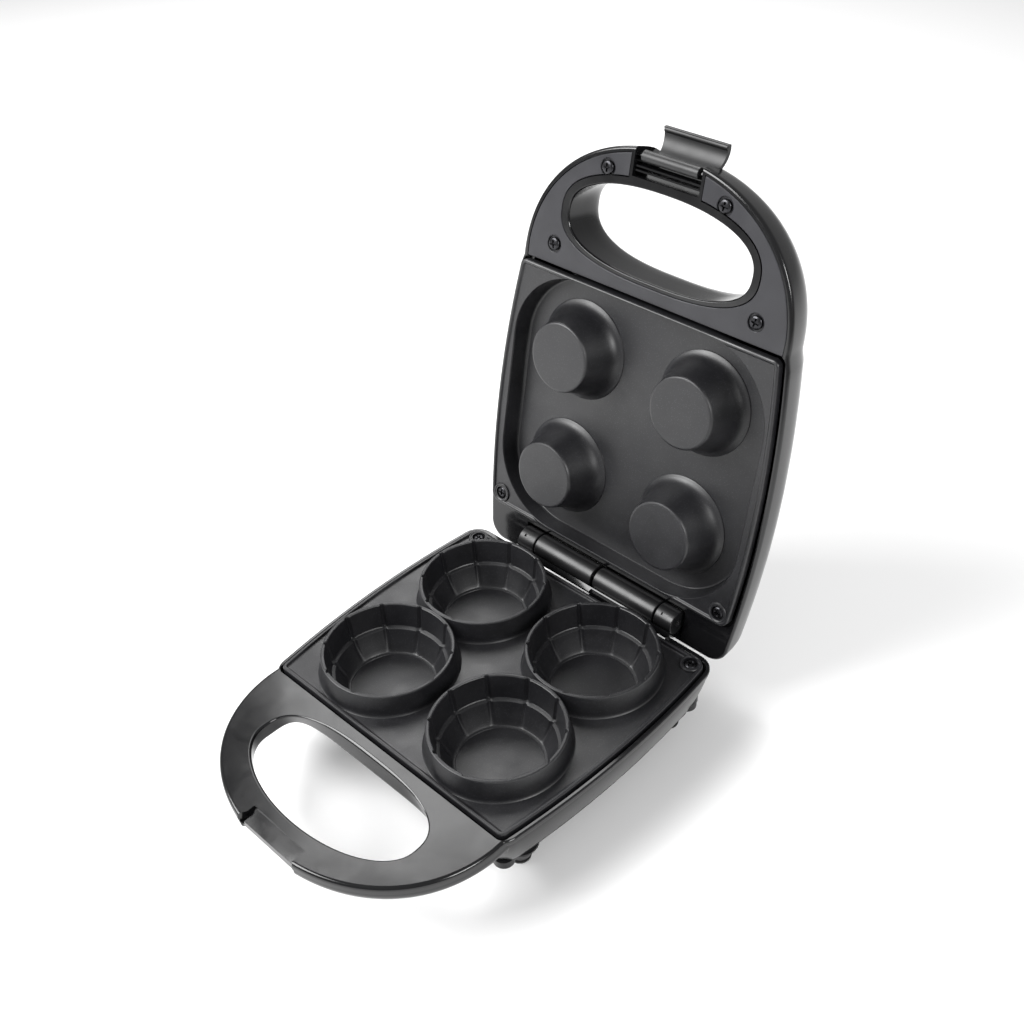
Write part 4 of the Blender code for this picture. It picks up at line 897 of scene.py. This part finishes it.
def phillips_screw(node, body, across, along, seat, facing, head=3.6 * MM):
    """A pan-head screw with a cross recess; facing is +1 for a head that looks up and -1 for down."""
    rise = 2.0 * MM
    length = 9.0 * MM
    profile = [(0.0, -length), (1.0 * MM, -length), (1.45 * MM, -length + 1.2 * MM), (1.45 * MM, 0.0),
               (head - 0.15 * MM, 0.0),
               (head, 0.2 * MM), (head, rise * 0.45), (head * 0.96, rise * 0.62), (head * 0.88, rise * 0.78),
               (head * 0.74, rise * 0.91), (head * 0.55, rise * 0.985), (0.0, rise)]
    screw = spun(profile, steps=48)
    for turn in (0.0, math.pi / 2):
        reach = head * 0.76
        floor = (reach * 0.45, 0.4 * MM, rise * 0.3)
        mouth = (reach, 0.6 * MM, rise + 0.4 * MM)
        arm = skin([[(-x, -y, z), (x, -y, z), (x, y, z), (-x, y, z)] for x, y, z in (floor, mouth)])
        arm.data.transform(Matrix.Rotation(turn, 4, "Z"))
        cut(screw, arm)
    drive = Matrix.Rotation(across * 400.0, 4, "Z")
    flip = Matrix.Rotation(math.pi if facing < 0 else 0.0, 4, "X")
    screw.data.transform(Matrix.Translation((across, along, seat)) @ flip @ drive)
    return place(screw, node, body, SCREW)


def all_screws():
    for side, name in ((-1, "left"), (1, "right")):
        phillips_screw(f"lower_plate_screw_{name}", "base", side * PLATE_SCREW[0], PLATE_SCREW[1],
                       LOWER_SEAT_Z + GAP, 1)
        phillips_screw(f"upper_plate_screw_{name}", "lid", side * LID_PLATE_SCREW[0], LID_PLATE_SCREW[1],
                       UPPER_SEAT_Z - GAP, -1)
        for row, (x, y) in (("front", PANEL_SCREWS[0]), ("back", PANEL_SCREWS[1])):
            phillips_screw(f"panel_screw_{row}_{name}", "lid", side * x, y, LID_RIM_Z + 1.2 * MM - GAP, -1,
                           head=3.9 * MM)


# ---------------------------------------------------------------- carried-over CAD nodes

CAD_COATS = {
    "cord_bush": RUBBER, "hinge_pin": STEEL, "latch_pin": GLOSS,
    "lower_element": SHEATH, "upper_element": SHEATH, "lower_reflector": REFLECTOR,
    "upper_reflector": REFLECTOR, "lower_thermostat": CERAMIC, "upper_thermostat": CERAMIC,
    "terminal_block": CERAMIC, "lamp_red": RED, "lamp_green": GREEN,
}


def coat_cad_nodes():
    for name, node in frame["nodes"].items():
        coat = CAD_COATS.get(name)
        if coat is None and name.startswith("foot_pad"):
            coat = RUBBER
        if coat is None and name.startswith("cover_screw"):
            coat = STEEL
        if coat:
            node.data.materials.clear()
            node.data.materials.append(coat)


# ---------------------------------------------------------------- stage, lights and camera

CAMERA_AZIMUTH = math.radians(46.07)
CAMERA_ELEVATION = math.radians(38.68)
CAMERA_ROLL = math.radians(-3.38)
CAMERA_TARGET = Vector((-74.62 * MM, 96.08 * MM + ORIGIN_Y, 64.23 * MM))
CAMERA_DISTANCE = 819.2 * MM
FOCAL_LENGTH = 44.51


def add_camera():
    a, e = CAMERA_AZIMUTH, CAMERA_ELEVATION
    back = Vector((math.sin(a) * math.cos(e), -math.cos(a) * math.cos(e), math.sin(e)))
    right = Vector((math.cos(a), math.sin(a), 0.0))
    up = back.cross(right)
    c, s = math.cos(CAMERA_ROLL), math.sin(CAMERA_ROLL)
    rolled_right = right * c + up * s
    rolled_up = up * c - right * s
    data = bpy.data.cameras.new("camera")
    data.lens = FOCAL_LENGTH
    data.sensor_width = 36.0
    data.clip_start = 0.01
    camera = bpy.data.objects.new("camera", data)
    bpy.context.scene.collection.objects.link(camera)
    spin = Matrix((rolled_right, rolled_up, back)).transposed().to_4x4()
    camera.matrix_world = Matrix.Translation(CAMERA_TARGET + back * CAMERA_DISTANCE) @ spin
    bpy.context.scene.camera = camera


def add_floor():
    mesh = bmesh.new()
    bmesh.ops.create_grid(mesh, x_segments=1, y_segments=1, size=6.0)
    floor = from_bmesh(mesh, "floor")
    coat = new_coat("floor_white", (0.93, 0.93, 0.93), 0.9, specular=0.1)
    floor.data.materials.append(coat)


def add_light(name, azimuth, elevation, distance, size, power):
    """A square softbox that looks at the middle of the object."""
    a, e = math.radians(azimuth), math.radians(elevation)
    away = Vector((math.sin(a) * math.cos(e), -math.cos(a) * math.cos(e), math.sin(e)))
    data = bpy.data.lights.new(name, "AREA")
    data.shape = "SQUARE"
    data.size = size
    data.energy = power
    light = bpy.data.objects.new(name, data)
    bpy.context.scene.collection.objects.link(light)
    middle = Vector((0.0, 0.0, 0.12))
    turn = away.to_track_quat("Z", "Y").to_matrix().to_4x4()
    light.matrix_world = Matrix.Translation(middle + away * distance) @ turn


def add_world():
    world = bpy.data.worlds.new("studio")
    world.use_nodes = True
    shade = world.node_tree.nodes["Background"]
    shade.inputs["Color"].default_value = (1.0, 1.0, 1.0, 1.0)
    shade.inputs["Strength"].default_value = 0.40
    bpy.context.scene.world = world


bpy.context.scene.view_settings.view_transform = "Standard"
add_camera()
add_floor()
add_world()
add_light("key_front_left", -42.0, 40.0, 1.5, 1.0, 40.0)
add_light("side_right", 84.0, 34.0, 1.3, 0.4, 8.5)
add_light("back_left", 228.0, 44.0, 1.6, 0.8, 11.0)

lower_plate()
base_housing()
base_cover()
upper_plate()
lid_housing()
handle_panel()
latch()
all_screws()
coat_cad_nodes()
